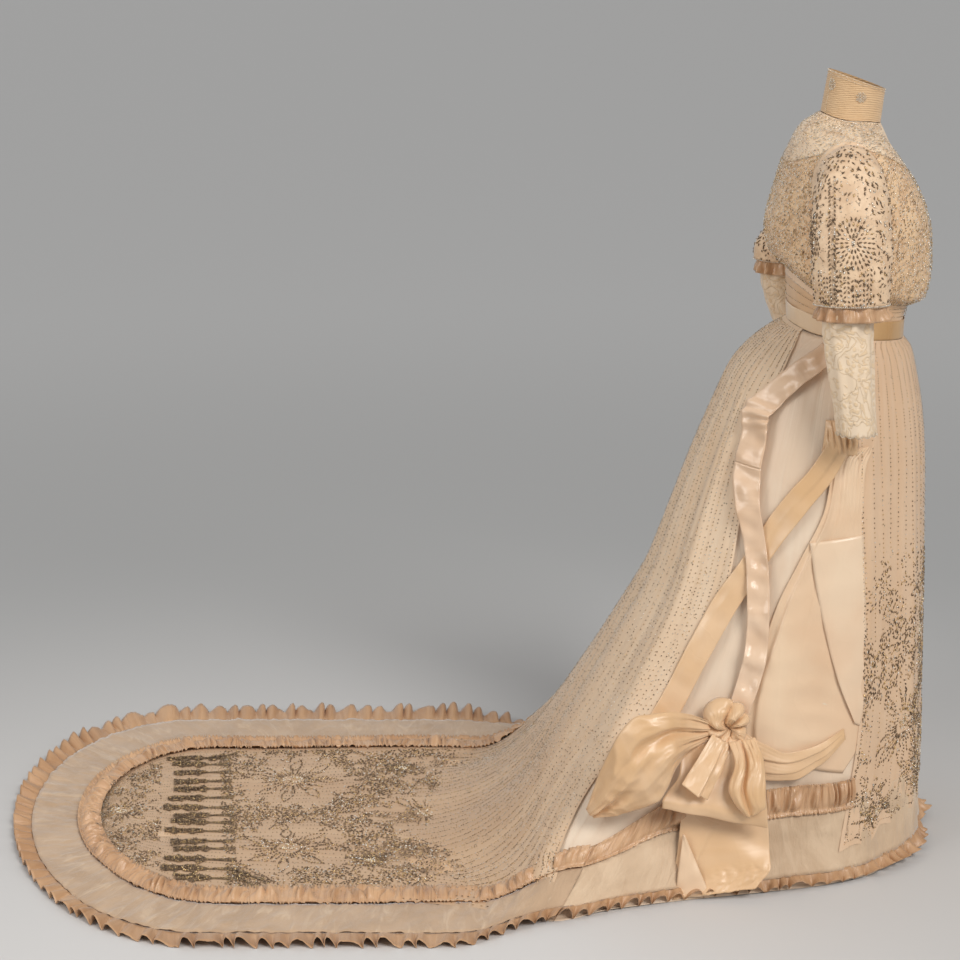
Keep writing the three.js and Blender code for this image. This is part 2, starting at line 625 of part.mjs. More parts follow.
// The gathered head of the drape, a small puffed patch below the sleeve.
function makeDrapeHead() {
  const rows = 5;
  const columns = 7;
  const patch = (base) => range(rows).map((i) => range(columns).map((j) => {
    const puff = 9 * Math.sin((Math.PI * i) / (rows - 1)) * Math.sin((Math.PI * j) / (columns - 1));
    const pleat = i > 0 && i < rows - 1 ? 1.5 * (j % 2) : 0;
    return onSkirt(mix(0.44, 0.52, j / (columns - 1)), mix(3.0, 3.5, i / (rows - 1)), base + puff + pleat);
  }));
  return wallBetween(patch(LAYER_4[1] + SEAM), patch(LAYER_4[1] + SEAM + CLOTH));
}

// ---- bow ----------------------------------------------------------------------------------
const KNOT = { y: 238, z: 348, out: 296.2, radius: 44, depth: 26, lobes: 7 };

// Rows of a bow piece in the side view: its left and right edge points, and how far out it
// stands to the wearer's right. Rows that go out and come back make a loop.
const BOW_COLUMNS = ['leftY', 'leftZ', 'rightY', 'rightZ', 'out'];
const LARGE_LOOP = [
  [262, 352, 256, 338, 292], [300, 364, 284, 318, 300], [360, 368, 330, 276, 306], [430, 334, 384, 208, 324],
  [486, 236, 442, 174, 342], [500, 186, 476, 166, 358], [486, 236, 442, 174, 386], [430, 334, 384, 208, 386],
  [360, 366, 330, 278, 362], [300, 360, 286, 322, 332], [262, 350, 256, 340, 312],
];
const FOLDED_LOOP = [
  [256, 322, 236, 312, 300], [300, 256, 222, 256, 317], [336, 206, 196, 190, 342], [352, 188, 178, 152, 354],
  [346, 184, 178, 148, 368], [330, 204, 192, 176, 376], [306, 232, 206, 214, 372],
];
const NARROW_FALL = [[262, 336, 248, 322, 313], [292, 286, 262, 262, 362], [326, 247, 284, 206, 390]];
const WIDE_FALL = [
  [241, 324, 217, 328, 314], [246, 262, 190, 270, 368], [238, 216, 176, 214, 392], [206, 180, 174, 174, 394],
];
const SWAG = [
  [214, 346, 216, 326, 300], [150, 300, 156, 244, 298], [90, 296, 96, 226, 290], [34, 310, 44, 272, 269],
];
const TAIL = [
  [262, 326, 220, 322, 290], [300, 250, 206, 250, 303], [330, 200, 180, 196, 322], [322, 150, 168, 147, 338],
  [328, 90, 166, 82, 353], [334, 40, 190, 70, 388], [338, 8, 250, 28, 408],
];

function bowGrid(rows, columns, crown) {
  return rows.map((values) => {
    const row = named(BOW_COLUMNS, values);
    return range(columns).map((j) => {
      const f = j / (columns - 1);
      const out = row.out + crown * Math.sin(Math.PI * f);
      return V(-out, mix(row.leftY, row.rightY, f), mix(row.leftZ, row.rightZ, f));
    });
  });
}

function knotGeometry(extra) {
  const geometry = new THREE.SphereGeometry(1, 14, 8);
  const place = geometry.attributes.position;
  for (let k = 0; k < place.count; k += 1) {
    const p = V(place.getX(k), place.getY(k), place.getZ(k));
    const around = Math.atan2(p.z, p.x);
    const rim = Math.hypot(p.x, p.z);
    const size = (KNOT.radius + extra) * (1 - 0.13 * rim * (0.5 + 0.5 * Math.cos(KNOT.lobes * around)));
    place.setXYZ(k, p.y * (KNOT.depth + extra), p.x * size, p.z * size);
  }
  geometry.translate(-KNOT.out, KNOT.y, KNOT.z);
  geometry.deleteAttribute('normal');
  geometry.deleteAttribute('uv');
  const merged = mergeVertices(geometry, 1e-3);
  return faceOut([...merged.attributes.position.array], [...merged.index.array]);
}

// A bow piece ends just clear of the knot that holds it.
function makeBowPiece(rows, columns, crown) {
  const cloth = wallOn(bowGrid(rows, columns, crown), [0, CLOTH]);
  return cutAway(cloth, toSolid(knotGeometry(0.45)));
}

// ---- the dress ----------------------------------------------------------------------------
const dress = new THREE.Group();

function add(name, geometry, colour, roughness = 0.6) {
  const material = new THREE.MeshStandardMaterial({ color: colour, roughness, metalness: 0 });
  const mesh = new THREE.Mesh(geometry, material);
  mesh.name = name;
  dress.add(mesh);
}

add('collar', makeCollar(), COLOURS.lace);
add('yoke_front', makeYoke(frontHalf), COLOURS.beaded);
add('yoke_back', makeYoke(backHalf), COLOURS.beaded);
add('bodice_front', makeBodice(frontHalf), COLOURS.beaded);
add('bodice_back', makeBodice(backHalf), COLOURS.beaded);
add('midriff', makeMidriff(), COLOURS.satin, 0.4);
add('upper_ribbon', makeUpperRibbon(), COLOURS.white, 0.3);
add('belt', makeBelt(), COLOURS.satin, 0.3);
for (const [hand, side] of [['right', 1], ['left', -1]]) {
  add(`oversleeve_${hand}`, makeCap(side), COLOURS.beaded);
  add(`sleeve_frill_${hand}`, makeSleeveFrill(side), COLOURS.satin, 0.4);
  add(`undersleeve_${hand}`, makeLower(side), COLOURS.lace);
}

const seamFront = column(SIDE_SEAM.front);
const seamBack = column(SIDE_SEAM.back);
const wayRound = skirtSteps.length;
const makeGore = (columns) => skirtPiece(wholeSkirt, columns, [-CLOTH, 0]);
add('skirt_front', makeGore([-seamFront, seamFront]), COLOURS.ivory, 0.4);
add('skirt_right', makeGore([seamFront, seamBack]), COLOURS.ivory, 0.4);
add('skirt_back', makeGore([seamBack, wayRound - seamBack]), COLOURS.ivory, 0.4);
add('skirt_left', makeGore([wayRound - seamBack, wayRound - seamFront]), COLOURS.ivory, 0.4);
add('skirt_band', makeBand(), COLOURS.tulle);
add('skirt_ruche_right', makeSkirtRuche(1), COLOURS.satin, 0.3);
add('skirt_ruche_left', makeSkirtRuche(-1), COLOURS.satin, 0.3);
add('skirt_hem_frill', makeHemFrill(), COLOURS.satin, 0.4);
add('overskirt_front', makeFrontPanel(), COLOURS.beaded);
add('overskirt_back', makeBackPanel(), COLOURS.beaded);

add('train_satin', makeTrainSatin(), COLOURS.satin, 0.4);
add('train_net', makeTrainNet(), COLOURS.beaded);
add('train_ruche', makeTrainRuche(), COLOURS.satin, 0.3);
add('train_band', makeTrainBand(), COLOURS.tulle);
add('train_frill', makeTrainFrill(), COLOURS.satin, 0.4);
add('tassel_row', makeTasselRow(), COLOURS.tassel);

add('side_drape', makeDrape(), COLOURS.taffeta, 0.3);
add('drape_head', makeDrapeHead(), COLOURS.taffeta, 0.3);
add('ribbon_upper', makeUpperStreamer(), COLOURS.white, 0.3);
add('ribbon_long', makeLongRibbon(), COLOURS.white, 0.3);
add('ribbon_cross', makeCrossRibbon(), COLOURS.satin, 0.3);
add('bow_knot', knotGeometry(0), COLOURS.taffeta, 0.3);
add('bow_loop_large', makeBowPiece(LARGE_LOOP, 5, 5), COLOURS.taffeta, 0.3);
add('bow_loop_folded', makeBowPiece(FOLDED_LOOP, 4, 2), COLOURS.taffeta, 0.3);
add('bow_fall_narrow', makeBowPiece(NARROW_FALL, 4, 3), COLOURS.taffeta, 0.3);
add('bow_fall_wide', makeBowPiece(WIDE_FALL, 5, 5), COLOURS.taffeta, 0.3);
add('bow_swag', makeBowPiece(SWAG, 4, 5), COLOURS.taffeta, 0.3);
add('bow_tail', makeBowPiece(TAIL, 5, 2), COLOURS.taffeta, 0.3);

const group = new THREE.Group();
dress.position.set(0, 0, -SHOULDER_HEIGHT);
group.add(dress);
export default group;
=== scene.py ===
import math

import bpy
import numpy as np
from mathutils import Matrix


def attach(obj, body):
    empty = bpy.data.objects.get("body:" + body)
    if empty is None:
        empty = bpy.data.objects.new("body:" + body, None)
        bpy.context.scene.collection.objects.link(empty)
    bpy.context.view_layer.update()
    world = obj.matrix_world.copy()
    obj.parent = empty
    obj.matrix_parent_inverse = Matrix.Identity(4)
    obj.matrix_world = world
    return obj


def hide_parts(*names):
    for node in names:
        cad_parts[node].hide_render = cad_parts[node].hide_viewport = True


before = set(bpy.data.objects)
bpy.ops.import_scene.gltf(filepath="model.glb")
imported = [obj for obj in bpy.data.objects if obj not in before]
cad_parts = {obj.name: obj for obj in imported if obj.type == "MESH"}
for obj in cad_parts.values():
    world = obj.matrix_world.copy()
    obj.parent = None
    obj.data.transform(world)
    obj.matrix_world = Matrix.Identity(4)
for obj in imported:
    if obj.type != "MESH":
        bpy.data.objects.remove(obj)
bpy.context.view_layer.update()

# A trained wedding dress. Lengths in the tables are millimetres above the floor, the front
# facing -Y and the wearer's right at -X; meshes are made in metres with the shoulders at zero.
SHOULDER = 1360.0

# ---- tables of sizes -----------------------------------------------------------------------
# Body rings: frontY, frontZ, sideX, sideY, sideZ, backY, backZ.
BODY_ROWS = np.array([
    [-46, 1380, 56, 8, 1388, 64, 1400],
    [-66, 1340, 98, 14, 1374, 100, 1372],
    [-98, 1292, 150, 26, 1350, 126, 1312],
    [-132, 1228, 166, 32, 1290, 143, 1252],
    [-147, 1170, 164, 30, 1215, 157, 1195],
    [-149, 1112, 154, 22, 1135, 150, 1150],
    [-140, 1060, 143, 14, 1084, 130, 1128],
    [-112, 1046, 131, 8, 1066, 119, 1119],
    [-109, 1034, 129, 6, 1050, 117, 1084],
    [-106, 1018, 129, 5, 1032, 115, 1047],
    [-104, 982.3, 130, 4, 997.3, 112, 1012.3],
], float)
COLLAR_TOP = np.array([-52, 1441, 53, 0, 1459, 52, 1477], float)
ARMHOLE = dict(y=32.0, z=1280.0, depth=62.0, height=78.0)

# Skirt rings: frontZ, backZ, frontY, backY, side, spread.
SKIRT_ROWS = np.array([
    [982, 1012, -104, 112, 130, 0],
    [960, 975, -118, 164, 150, 0],
    [915, 925, -130, 208, 172, 0.02],
    [850, 850, -143, 240, 192, 0.05],
    [760, 755, -153, 278, 213, 0.10],
    [650, 640, -158, 319, 238, 0.20],
    [540, 520, -162, 362, 266, 0.32],
    [430, 390, -165, 431, 298, 0.45],
    [320, 250, -168, 510, 335, 0.60],
    [235, 130, -171, 583, 366, 0.74],
    [165, 60, -173, 640, 395, 0.84],
    [120, 42, -174, 655, 412, 0.89],
    [32, 12, -178, 705, 453, 0.98],
    [2, 2, -180, 720, 470, 1],
], float)
HEM_ROW = 13
AROUND = 900           # millimetres that folds take half the skirt's round for
HEM_OUTLINE = np.array([
    [0, 0, -180], [0.12, 110, -163], [0.24, 205, -118], [0.36, 272, -45], [0.48, 318, 40],
    [0.56, 348, 150], [0.64, 380, 300], [0.70, 415, 430], [0.76, 470, 560], [0.82, 455, 630],
    [0.90, 270, 695], [1, 0, 720],
], float)
HEM_SIDE, HEM_FRONT, HEM_LONG = 470, -180, 900
SKIRT_STEPS = [0, 0.1, 0.2, 0.3, 0.38, 0.46, 0.52, 0.58, 0.64, 0.7, 0.76, 0.82, 0.88, 0.94, 1]
FOLD_DEPTH = [6, -5, 7, -6, 5, 2, -3, 3, -4, 8, -8, 9, -7, 9, -8]
TRIM_END = 0.76        # the share of the half round where the trimmings leave for the train
FRILL_ROW = 12.98      # the row on which the hem's ruffle ends

# Sleeve rings: outerX, outerZ, innerX, innerZ, midY, halfDepth.
CAP_ROWS = np.array([
    [146, 1357.6, 146, 1202.4, 32, 61.6],
    [171, 1357.6, 171, 1202.4, 32, 61.6],
    [206, 1340, 177, 1194, 33, 66],
    [240, 1292, 181, 1180, 34, 70],
    [262, 1226, 184, 1160, 34, 71],
    [274, 1152, 187, 1126, 33, 70],
    [279, 1086, 189, 1082, 30, 66],
], float)
FRILL_ROWS = np.array([
    [271, 1096, 197, 1093, 30, 57.5],
    [276, 1079, 192, 1075, 30, 61],
    [281, 1060, 187, 1058, 29, 66],
], float)
LOWER_ROWS = np.array([
    [268.2, 1095, 199.8, 1092, 30, 54.6],
    [268, 1050, 205, 1048, 37, 46],
    [274, 985, 207, 985, 31, 43],
    [279, 915, 211, 915, 22, 38],
    [281, 850, 215, 852, 14, 36],
], float)

# Edges in the side view, as y, z.
FRONT_EDGE = np.array([
    [1, 985], [1, 860], [-1, 716], [-9, 529], [-14, 342], [-8, 240], [6, 150], [22, 56],
], float)
FRONT_FOOT = np.array([
    [22, 56], [-8, 66], [-36, 60], [-62, 84], [-86, 80], [-110, 98], [-150, 90],
], float)
BACK_EDGE = np.array([
    [96, 1004], [124, 955], [166, 870], [203, 708], [230, 565], [262, 460], [300, 389], [380, 300],
    [470, 213], [545, 90], [575, 36], [590, 3],
], float)
DRAPE_BACK = np.array([
    [6, 812], [40, 800], [60, 702], [104, 609], [140, 534], [166, 460], [191, 380], [200, 300],
    [186, 244],
], float)
DRAPE_FRONT = np.array([
    [-30, 812], [-16, 760], [-14, 680], [-22, 560], [-27, 450], [-29, 345], [-18, 262], [16, 204],
], float)
FACING_FRONT = np.array([[88, 640], [77, 571], [60, 491], [32, 386], [-2, 300]], float)
FACING_BACK = np.array([[-12, 652], [-18, 562], [-22, 473], [-24, 368], [-14, 292]], float)

LONG_RIBBON = np.array([
    [52, 972], [76, 955], [108, 931], [149, 894], [172, 860], [180, 818], [192, 758], [194, 714],
    [186, 650], [179, 584], [178, 508], [182, 440], [194, 390], [214, 330],
], float)
LONG_WIDTHS = (30, 33, 37, 40, 40, 38, 42, 45, 42, 42, 40)
UPPER_END = 77         # the row of the long ribbon at which its upper piece ends
CROSS_RIBBON = np.array([
    [24, 838], [45, 802], [70, 762], [103, 722], [136, 677], [168, 628], [201, 577], [233, 530],
    [284, 439], [333, 348], [362, 300],
], float)
CROSS_WIDTHS = (38, 44, 44, 43, 42, 41, 40, 40, 42)

# Bow rows: leftY, leftZ, rightY, rightZ, out.
KNOT = dict(y=240.0, z=318.0, out=300.0, radius=45.0, depth=30.0)
LARGE_LOOP = np.array([
    [262, 322, 270, 290, 312], [310, 354, 315, 271, 346], [360, 371, 336, 261, 378],
    [404, 369, 351, 231, 392], [438, 342, 369, 202, 396], [464, 284, 418, 179, 388],
    [487, 211, 461, 164, 372], [498, 172, 484, 156, 358], [489, 174, 470, 166, 346],
    [459, 253, 407, 182, 322], [397, 320, 350, 212, 306], [304, 317, 303, 270, 298],
    [263, 310, 272, 288, 294],
], float)
FOLDED_LOOP = np.array([
    [277, 298, 211, 298, 318], [322, 267, 187, 279, 338], [328, 238, 173, 242, 352],
    [349, 211, 170, 199, 372], [360, 197, 168, 161, 384], [360, 183, 167, 143, 380],
    [348, 186, 170, 148, 368],
], float)
NARROW_FALL = np.array([
    [267, 308, 228, 284, 326], [295, 277, 251, 251, 366], [327, 236, 279, 204, 392],
], float)
WIDE_FALL = np.array([
    [237, 292, 188, 300, 326], [229, 266, 175, 266, 364], [242, 226, 173, 225, 388],
    [227, 194, 173, 194, 398], [206, 172, 190, 180, 398],
], float)
SWAG = np.array([
    [212, 306, 212, 268, 312], [170, 280, 166, 208, 308], [122, 258, 114, 204, 300],
    [70, 266, 62, 226, 284], [16, 292, 12, 270, 266],
], float)
TAIL = np.array([
    [315, 172, 163, 150, 336], [322, 140, 160, 128, 342], [327, 88, 158, 92, 350],
    [335, 34, 157, 62, 364], [338, 4, 186, 26, 384],
], float)
# The tail's turned corner: its outer edge and its fold, each from its upper end to its lower.
TAIL_CORNER = np.array([[-352, 318, 122.0], [-372, 333, 4.0]])
TAIL_FOLD = np.array([[-350, 316, 120.0], [-376, 268, 10.0]])

# Train edges: half width, where the sides begin to round, the tail.
TRAIN_SKEW = 0.12
TRAIN_EDGE = dict(
    frill=(570, 1252, 1617), band=(513, 1252, 1580), ruche=(402, 1215, 1490), net=(343, 1205, 1447),
)
TASSEL_COUNT = 15
TASSEL_FROM, TASSEL_TO = 1180.0, 1322.0
TASSEL_SIDE = 292
TASSEL_STRAYS = [(-330, 1150, 0.9), (-300, 1130, 0.5), (318, 1165, -0.5)]      # x, y and turn


# ---- number tools --------------------------------------------------------------------------
def mix(a, b, f):
    """a + (b - a) f."""
    return a + (b - a) * f


def ramp(x, low, high):
    """Smooth step: 0 below low, 1 above high, 3t^2 - 2t^3 between."""
    t = np.clip((x - low) / (high - low), 0, 1)
    return t * t * (3 - 2 * t)


def smooth(knots, values, at):
    """Smooth curve through a table. Cubic pieces whose slope at a knot is the weighted harmonic
    mean of the slopes beside it, or nothing where those turn."""
    knots = np.asarray(knots, float)
    values = np.asarray(values, float)
    at = np.clip(np.asarray(at, float), knots[0], knots[-1])
    h = np.diff(knots).reshape((-1,) + (1,) * (values.ndim - 1))
    d = np.diff(values, axis=0) / h
    before, after = d[:-1], d[1:]
    w1, w2 = 2 * h[1:] + h[:-1], h[1:] + 2 * h[:-1]
    same = before * after > 0
    safe_before = np.where(same, before, 1.0)
    safe_after = np.where(same, after, 1.0)
    inner = np.where(same, (w1 + w2) / (w1 / safe_before + w2 / safe_after), 0.0)
    slope = np.concatenate([d[:1], inner, d[-1:]])
    i = np.clip(np.searchsorted(knots, at, side="right") - 1, 0, len(knots) - 2)
    step = knots[i + 1] - knots[i]
    t = (at - knots[i]) / step
    shape = t.shape + (1,) * (values.ndim - 1)
    t, step = t.reshape(shape), step.reshape(shape)
    return (
        values[i] * (1 + 2 * t) * (1 - t) ** 2 + slope[i] * step * t * (1 - t) ** 2
        + values[i + 1] * t * t * (3 - 2 * t) + slope[i + 1] * step * t * t * (t - 1)
    )


def running(steps):
    """The sums of steps so far, from nothing."""
    return np.concatenate([[0], np.cumsum(steps)])


def through(points, at):
    """A point on the smooth curve through rows of points, at from 0 to 1 by its length."""
    points = np.asarray(points, float)
    length = running(np.linalg.norm(np.diff(points, axis=0), axis=1))
    return smooth(length / length[-1], points, at)


def drift(a, b, seed, size, count=10):
    """Uneven swell between about -1 and 1: a sum of sine waves in random directions, each
    about size long."""
    rng = np.random.default_rng(seed)
    angle = rng.uniform(0, 2 * np.pi, count)
    wave = 2 * np.pi / (size * rng.uniform(0.6, 1.8, count))
    phase = rng.uniform(0, 2 * np.pi, count)
    a, b = np.asarray(a, float), np.asarray(b, float)
    total = np.zeros(np.broadcast(a, b).shape)
    for k in range(count):
        total = total + np.sin(wave[k] * (a * np.cos(angle[k]) + b * np.sin(angle[k])) + phase[k])
    return total / math.sqrt(count)


def pair(a, b):
    """Two inputs as float arrays of one shape."""
    return np.broadcast_arrays(np.asarray(a, float), np.asarray(b, float))


def pleats(t, sharp=1.5):
    """Ridges one unit apart, 0 in the troughs and 1 on top: |cos(pi t)| to a power."""
    return np.abs(np.cos(np.pi * t)) ** sharp


def unit(v):
    """v over its length."""
    return v / np.maximum(np.linalg.norm(v, axis=-1, keepdims=True), 1e-9)


# ---- surfaces ------------------------------------------------------------------------------
class Surface:
    """A cloth form: a function of u, round the figure, and v, downwards, to a point.
    Its outward normal is the cross product of its two tangents."""

    def __init__(self, form, steps):
        self.form = form
        self.steps = steps

    def normal(self, u, v):
        du, dv = self.steps
        across = self.form(u + du, v) - self.form(u - du, v)
        down = self.form(u, v + dv) - self.form(u, v - dv)
        return unit(np.cross(across, down))

    def at(self, u, v, out=0.0):
        u, v = pair(u, v)
        out = np.broadcast_to(np.asarray(out, float), u.shape)
        return self.form(u, v) + self.normal(u, v) * out[..., None]


def body_form(turn, row):
    """Body ring: x with the sine of the turn from the front, y with its cosine, the height
    with the cosine squared, between the front, side and back values of the ring."""
    turn, row = pair(turn, row)
    ring = smooth(np.arange(len(BODY_ROWS)), BODY_ROWS, row)
    return ring_point(ring, turn)


def ring_point(ring, turn, power=2.0):
    """The point of a body ring at a turn from the front."""
    c, s = np.cos(turn), np.sin(turn)
    end_y = np.where(c > 0, ring[..., 0], ring[..., 5])
    end_z = np.where(c > 0, ring[..., 1], ring[..., 6])
    return np.stack([
        -ring[..., 2] * s,
        mix(ring[..., 3], end_y, np.abs(c)),
        mix(ring[..., 4], end_z, np.abs(c) ** power),
    ], -1)


def collar_form(turn, height):
    """Collar: rings mixed from the neck seam up to the level but tilted rim, drawn in a little
    between."""
    turn, height = pair(turn, height)
    low = BODY_ROWS[0] + np.array([0, 0.5, 0, 0, 0.5, 0, 0.5])
    up = 1 - height[..., None]
    ring = mix(low, COLLAR_TOP, up)
    pinch = 1 - 0.03 * np.sin(np.pi * np.clip(up, 0, 1))
    ring[..., 2:3] *= pinch
    return ring_point(ring, turn, 1.0 + np.clip(height, 0, 1))


def around(w):
    """The side of the figure, 1 for the wearer's right, and the share of the half round."""
    at = np.where(w > 1, w - 2, w)
    return np.sign(at), np.abs(at)


def skirt_plain(w, row):
    """Skirt ring without folds. w is the share of the half round from the centre front over the
    wearer's right, 1 at the centre back and on to 2. Each ring mixes an oval with the hem's
    outline on the floor by its spread."""
    w, row = pair(w, row)
    hand, share = around(w)
    ring = smooth(np.arange(len(SKIRT_ROWS)), SKIRT_ROWS, row)
    front_z, back_z, front_y, back_y, side, spread = np.moveaxis(ring, -1, 0)
    hem = smooth(HEM_OUTLINE[:, 0], HEM_OUTLINE[:, 1:], share)
    c = np.cos(np.pi * share)
    x = mix(np.sin(np.pi * share), hem[..., 0] / HEM_SIDE, spread)
    y = mix((1 - c) / 2, (hem[..., 1] - HEM_FRONT) / HEM_LONG, spread)
    z = mix(front_z, back_z, (1 - c * np.abs(c)) / 2)
    return np.stack([-hand * side * x, mix(front_y, back_y, y), z], -1)


def skirt_folded(w, row):
    """The skirt with its broad folds, which begin below the hip and deepen towards the hem."""
    share = around(w)[1]
    depth = smooth(SKIRT_STEPS, np.array(FOLD_DEPTH, float), share)
    depth = depth * ramp(row, 1, 10) * (1 - 0.65 * ramp(row, 11, 12.2))
    plain = Surface(skirt_plain, (0.004, 0.03))
    normal = plain.normal(w, row) * np.array([1, 1, 0])
    return skirt_plain(w, row) + normal * depth[..., None]


# Where the skirt's back leaves its rings to lie down on the train: share of the half round,
# the last ring, and where it lands.
LANDING = np.array([
    [0.76, 12.7, 470, 560], [0.79, 11.3, 410, 634], [0.82, 10.4, 350, 696], [0.86, 9.6, 284, 752],
    [0.91, 9.0, 192, 804], [0.96, 8.6, 88, 834], [1, 8.5, 0, 842],
], float)


def skirt_form(w, row):
    """The folded skirt; from share 0.76 round the back each line down it turns, below its last
    ring, into a cubic arc that lands level on the floor."""
    w, row = pair(w, row)
    hand, share = around(w)
    last, x, y = np.moveaxis(smooth(LANDING[:, 0], LANDING[:, 1:], share), -1, 0)
    low = (share > TRIM_END) & (row > last)
    points = skirt_folded(w, row)
    if not low.any():
        return points
    w, row, last, side = w[low], row[low], last[low], -hand[low]
    start = skirt_folded(w, last)
    fall = unit(start - skirt_folded(w, last - 0.25))
    end = np.stack([side * x[low], y[low], np.full(len(w), 1.2)], -1)
    length = np.linalg.norm(end - start, axis=-1, keepdims=True)
    second, third = start + 0.36 * length * fall, end - 0.42 * length * np.array([0, 1, 0])
    q = ((row - last) / (HEM_ROW - last))[:, None]
    points = points.copy()
    points[low] = (
        start * (1 - q) ** 3 + 3 * second * q * (1 - q) ** 2
        + 3 * third * q * q * (1 - q) + end * q ** 3
    )
    return points


def sleeve_form(rows, side):
    """A sleeve: rings between an outer and an inner point, a from the front over the outside.
    The wearer's left sleeve (side -1) is drawn back from the elbow."""
    def form(a, row):
        a, row = pair(a, row)
        ring = smooth(np.arange(len(rows)), rows, row)
        outer_x, outer_z, inner_x, inner_z, mid_y, depth = np.moveaxis(ring, -1, 0)
        s = np.sin(a)
        x = -(outer_x + inner_x) / 2 - (outer_x - inner_x) / 2 * s
        z = (outer_z + inner_z) / 2 + (outer_z - inner_z) / 2 * s
        y = mid_y - depth * np.cos(a)
        if side < 0:
            y = y + 52 * ramp(1210 - outer_z, 0, 110) - 30 * ramp(1060 - outer_z, 0, 200)
        return np.stack([side * x, y, z], -1)
    return form


BODY = Surface(body_form, (0.01, 0.02))
COLLAR = Surface(collar_form, (0.01, 0.01))
SKIRT = Surface(skirt_form, (0.003, 0.03))


def finder(surface, axes, u_range, v_range, steps=90):
    """A function from two of a surface's coordinates back to its u and v: the nearest of a
    grid of samples, then Newton's steps with slopes taken from small moves."""
    u = np.linspace(*u_range, steps)
    v = np.linspace(*v_range, steps)
    uu, vv = np.meshgrid(u, v)
    known = surface.form(uu.ravel(), vv.ravel())[:, axes]
    flat_u, flat_v = uu.ravel(), vv.ravel()

    def find(a, b):
        a, b = pair(a, b)
        shape, target = a.shape, np.stack([a.ravel(), b.ravel()], -1)
        near = np.concatenate([
            np.argmin(((known[None] - part[:, None]) ** 2).sum(-1), axis=1)
            for part in np.array_split(target, max(1, len(target) // 400))
        ])
        fu, fv = flat_u[near].copy(), flat_v[near].copy()
        for _ in range(5):
            here = surface.form(fu, fv)[:, axes]
            slope_u = (surface.form(fu + 1e-3, fv)[:, axes] - here) / 1e-3
            slope_v = (surface.form(fu, fv + 1e-2)[:, axes] - here) / 1e-2
            miss = target - here
            det = slope_u[:, 0] * slope_v[:, 1] - slope_u[:, 1] * slope_v[:, 0]
            det = np.where(np.abs(det) < 20, 20 * np.where(det < 0, -1, 1), det)
            step_u = (miss[:, 0] * slope_v[:, 1] - miss[:, 1] * slope_v[:, 0]) / det
            step_v = (slope_u[:, 0] * miss[:, 1] - slope_u[:, 1] * miss[:, 0]) / det
            fu = np.clip(fu + np.clip(step_u, -0.04, 0.04), *u_range)
            fv = np.clip(fv + np.clip(step_v, -0.8, 0.8), *v_range)
        return fu.reshape(shape), fv.reshape(shape)
    return find


find_side = finder(SKIRT, [1, 2], (0.0, 1.0), (0.0, 13.0))
find_arm = finder(BODY, [1, 2], (0.2, 2.9), (0.3, 5.5))


def on_side(y, z, out):
    """The point over the wearer's right side of the skirt at y and z in the side view."""
    u, v = find_side(y, z)
    return SKIRT.at(u, v, out)


# ---- materials -----------------------------------------------------------------------------
class Socket:
    """A shader socket whose sums, differences and products add Math nodes."""

    def __init__(self, finish, socket):
        self.finish = finish
        self.socket = socket

    def __add__(self, other):
        return self.finish.maths("ADD", self, other)

    def __radd__(self, other):
        return self.finish.maths("ADD", other, self)

    def __sub__(self, other):
        return self.finish.maths("SUBTRACT", self, other)

    def __rsub__(self, other):
        return self.finish.maths("SUBTRACT", other, self)

    def __mul__(self, other):
        return self.finish.maths("MULTIPLY", self, other)

    def __rmul__(self, other):
        return self.finish.maths("MULTIPLY", other, self)


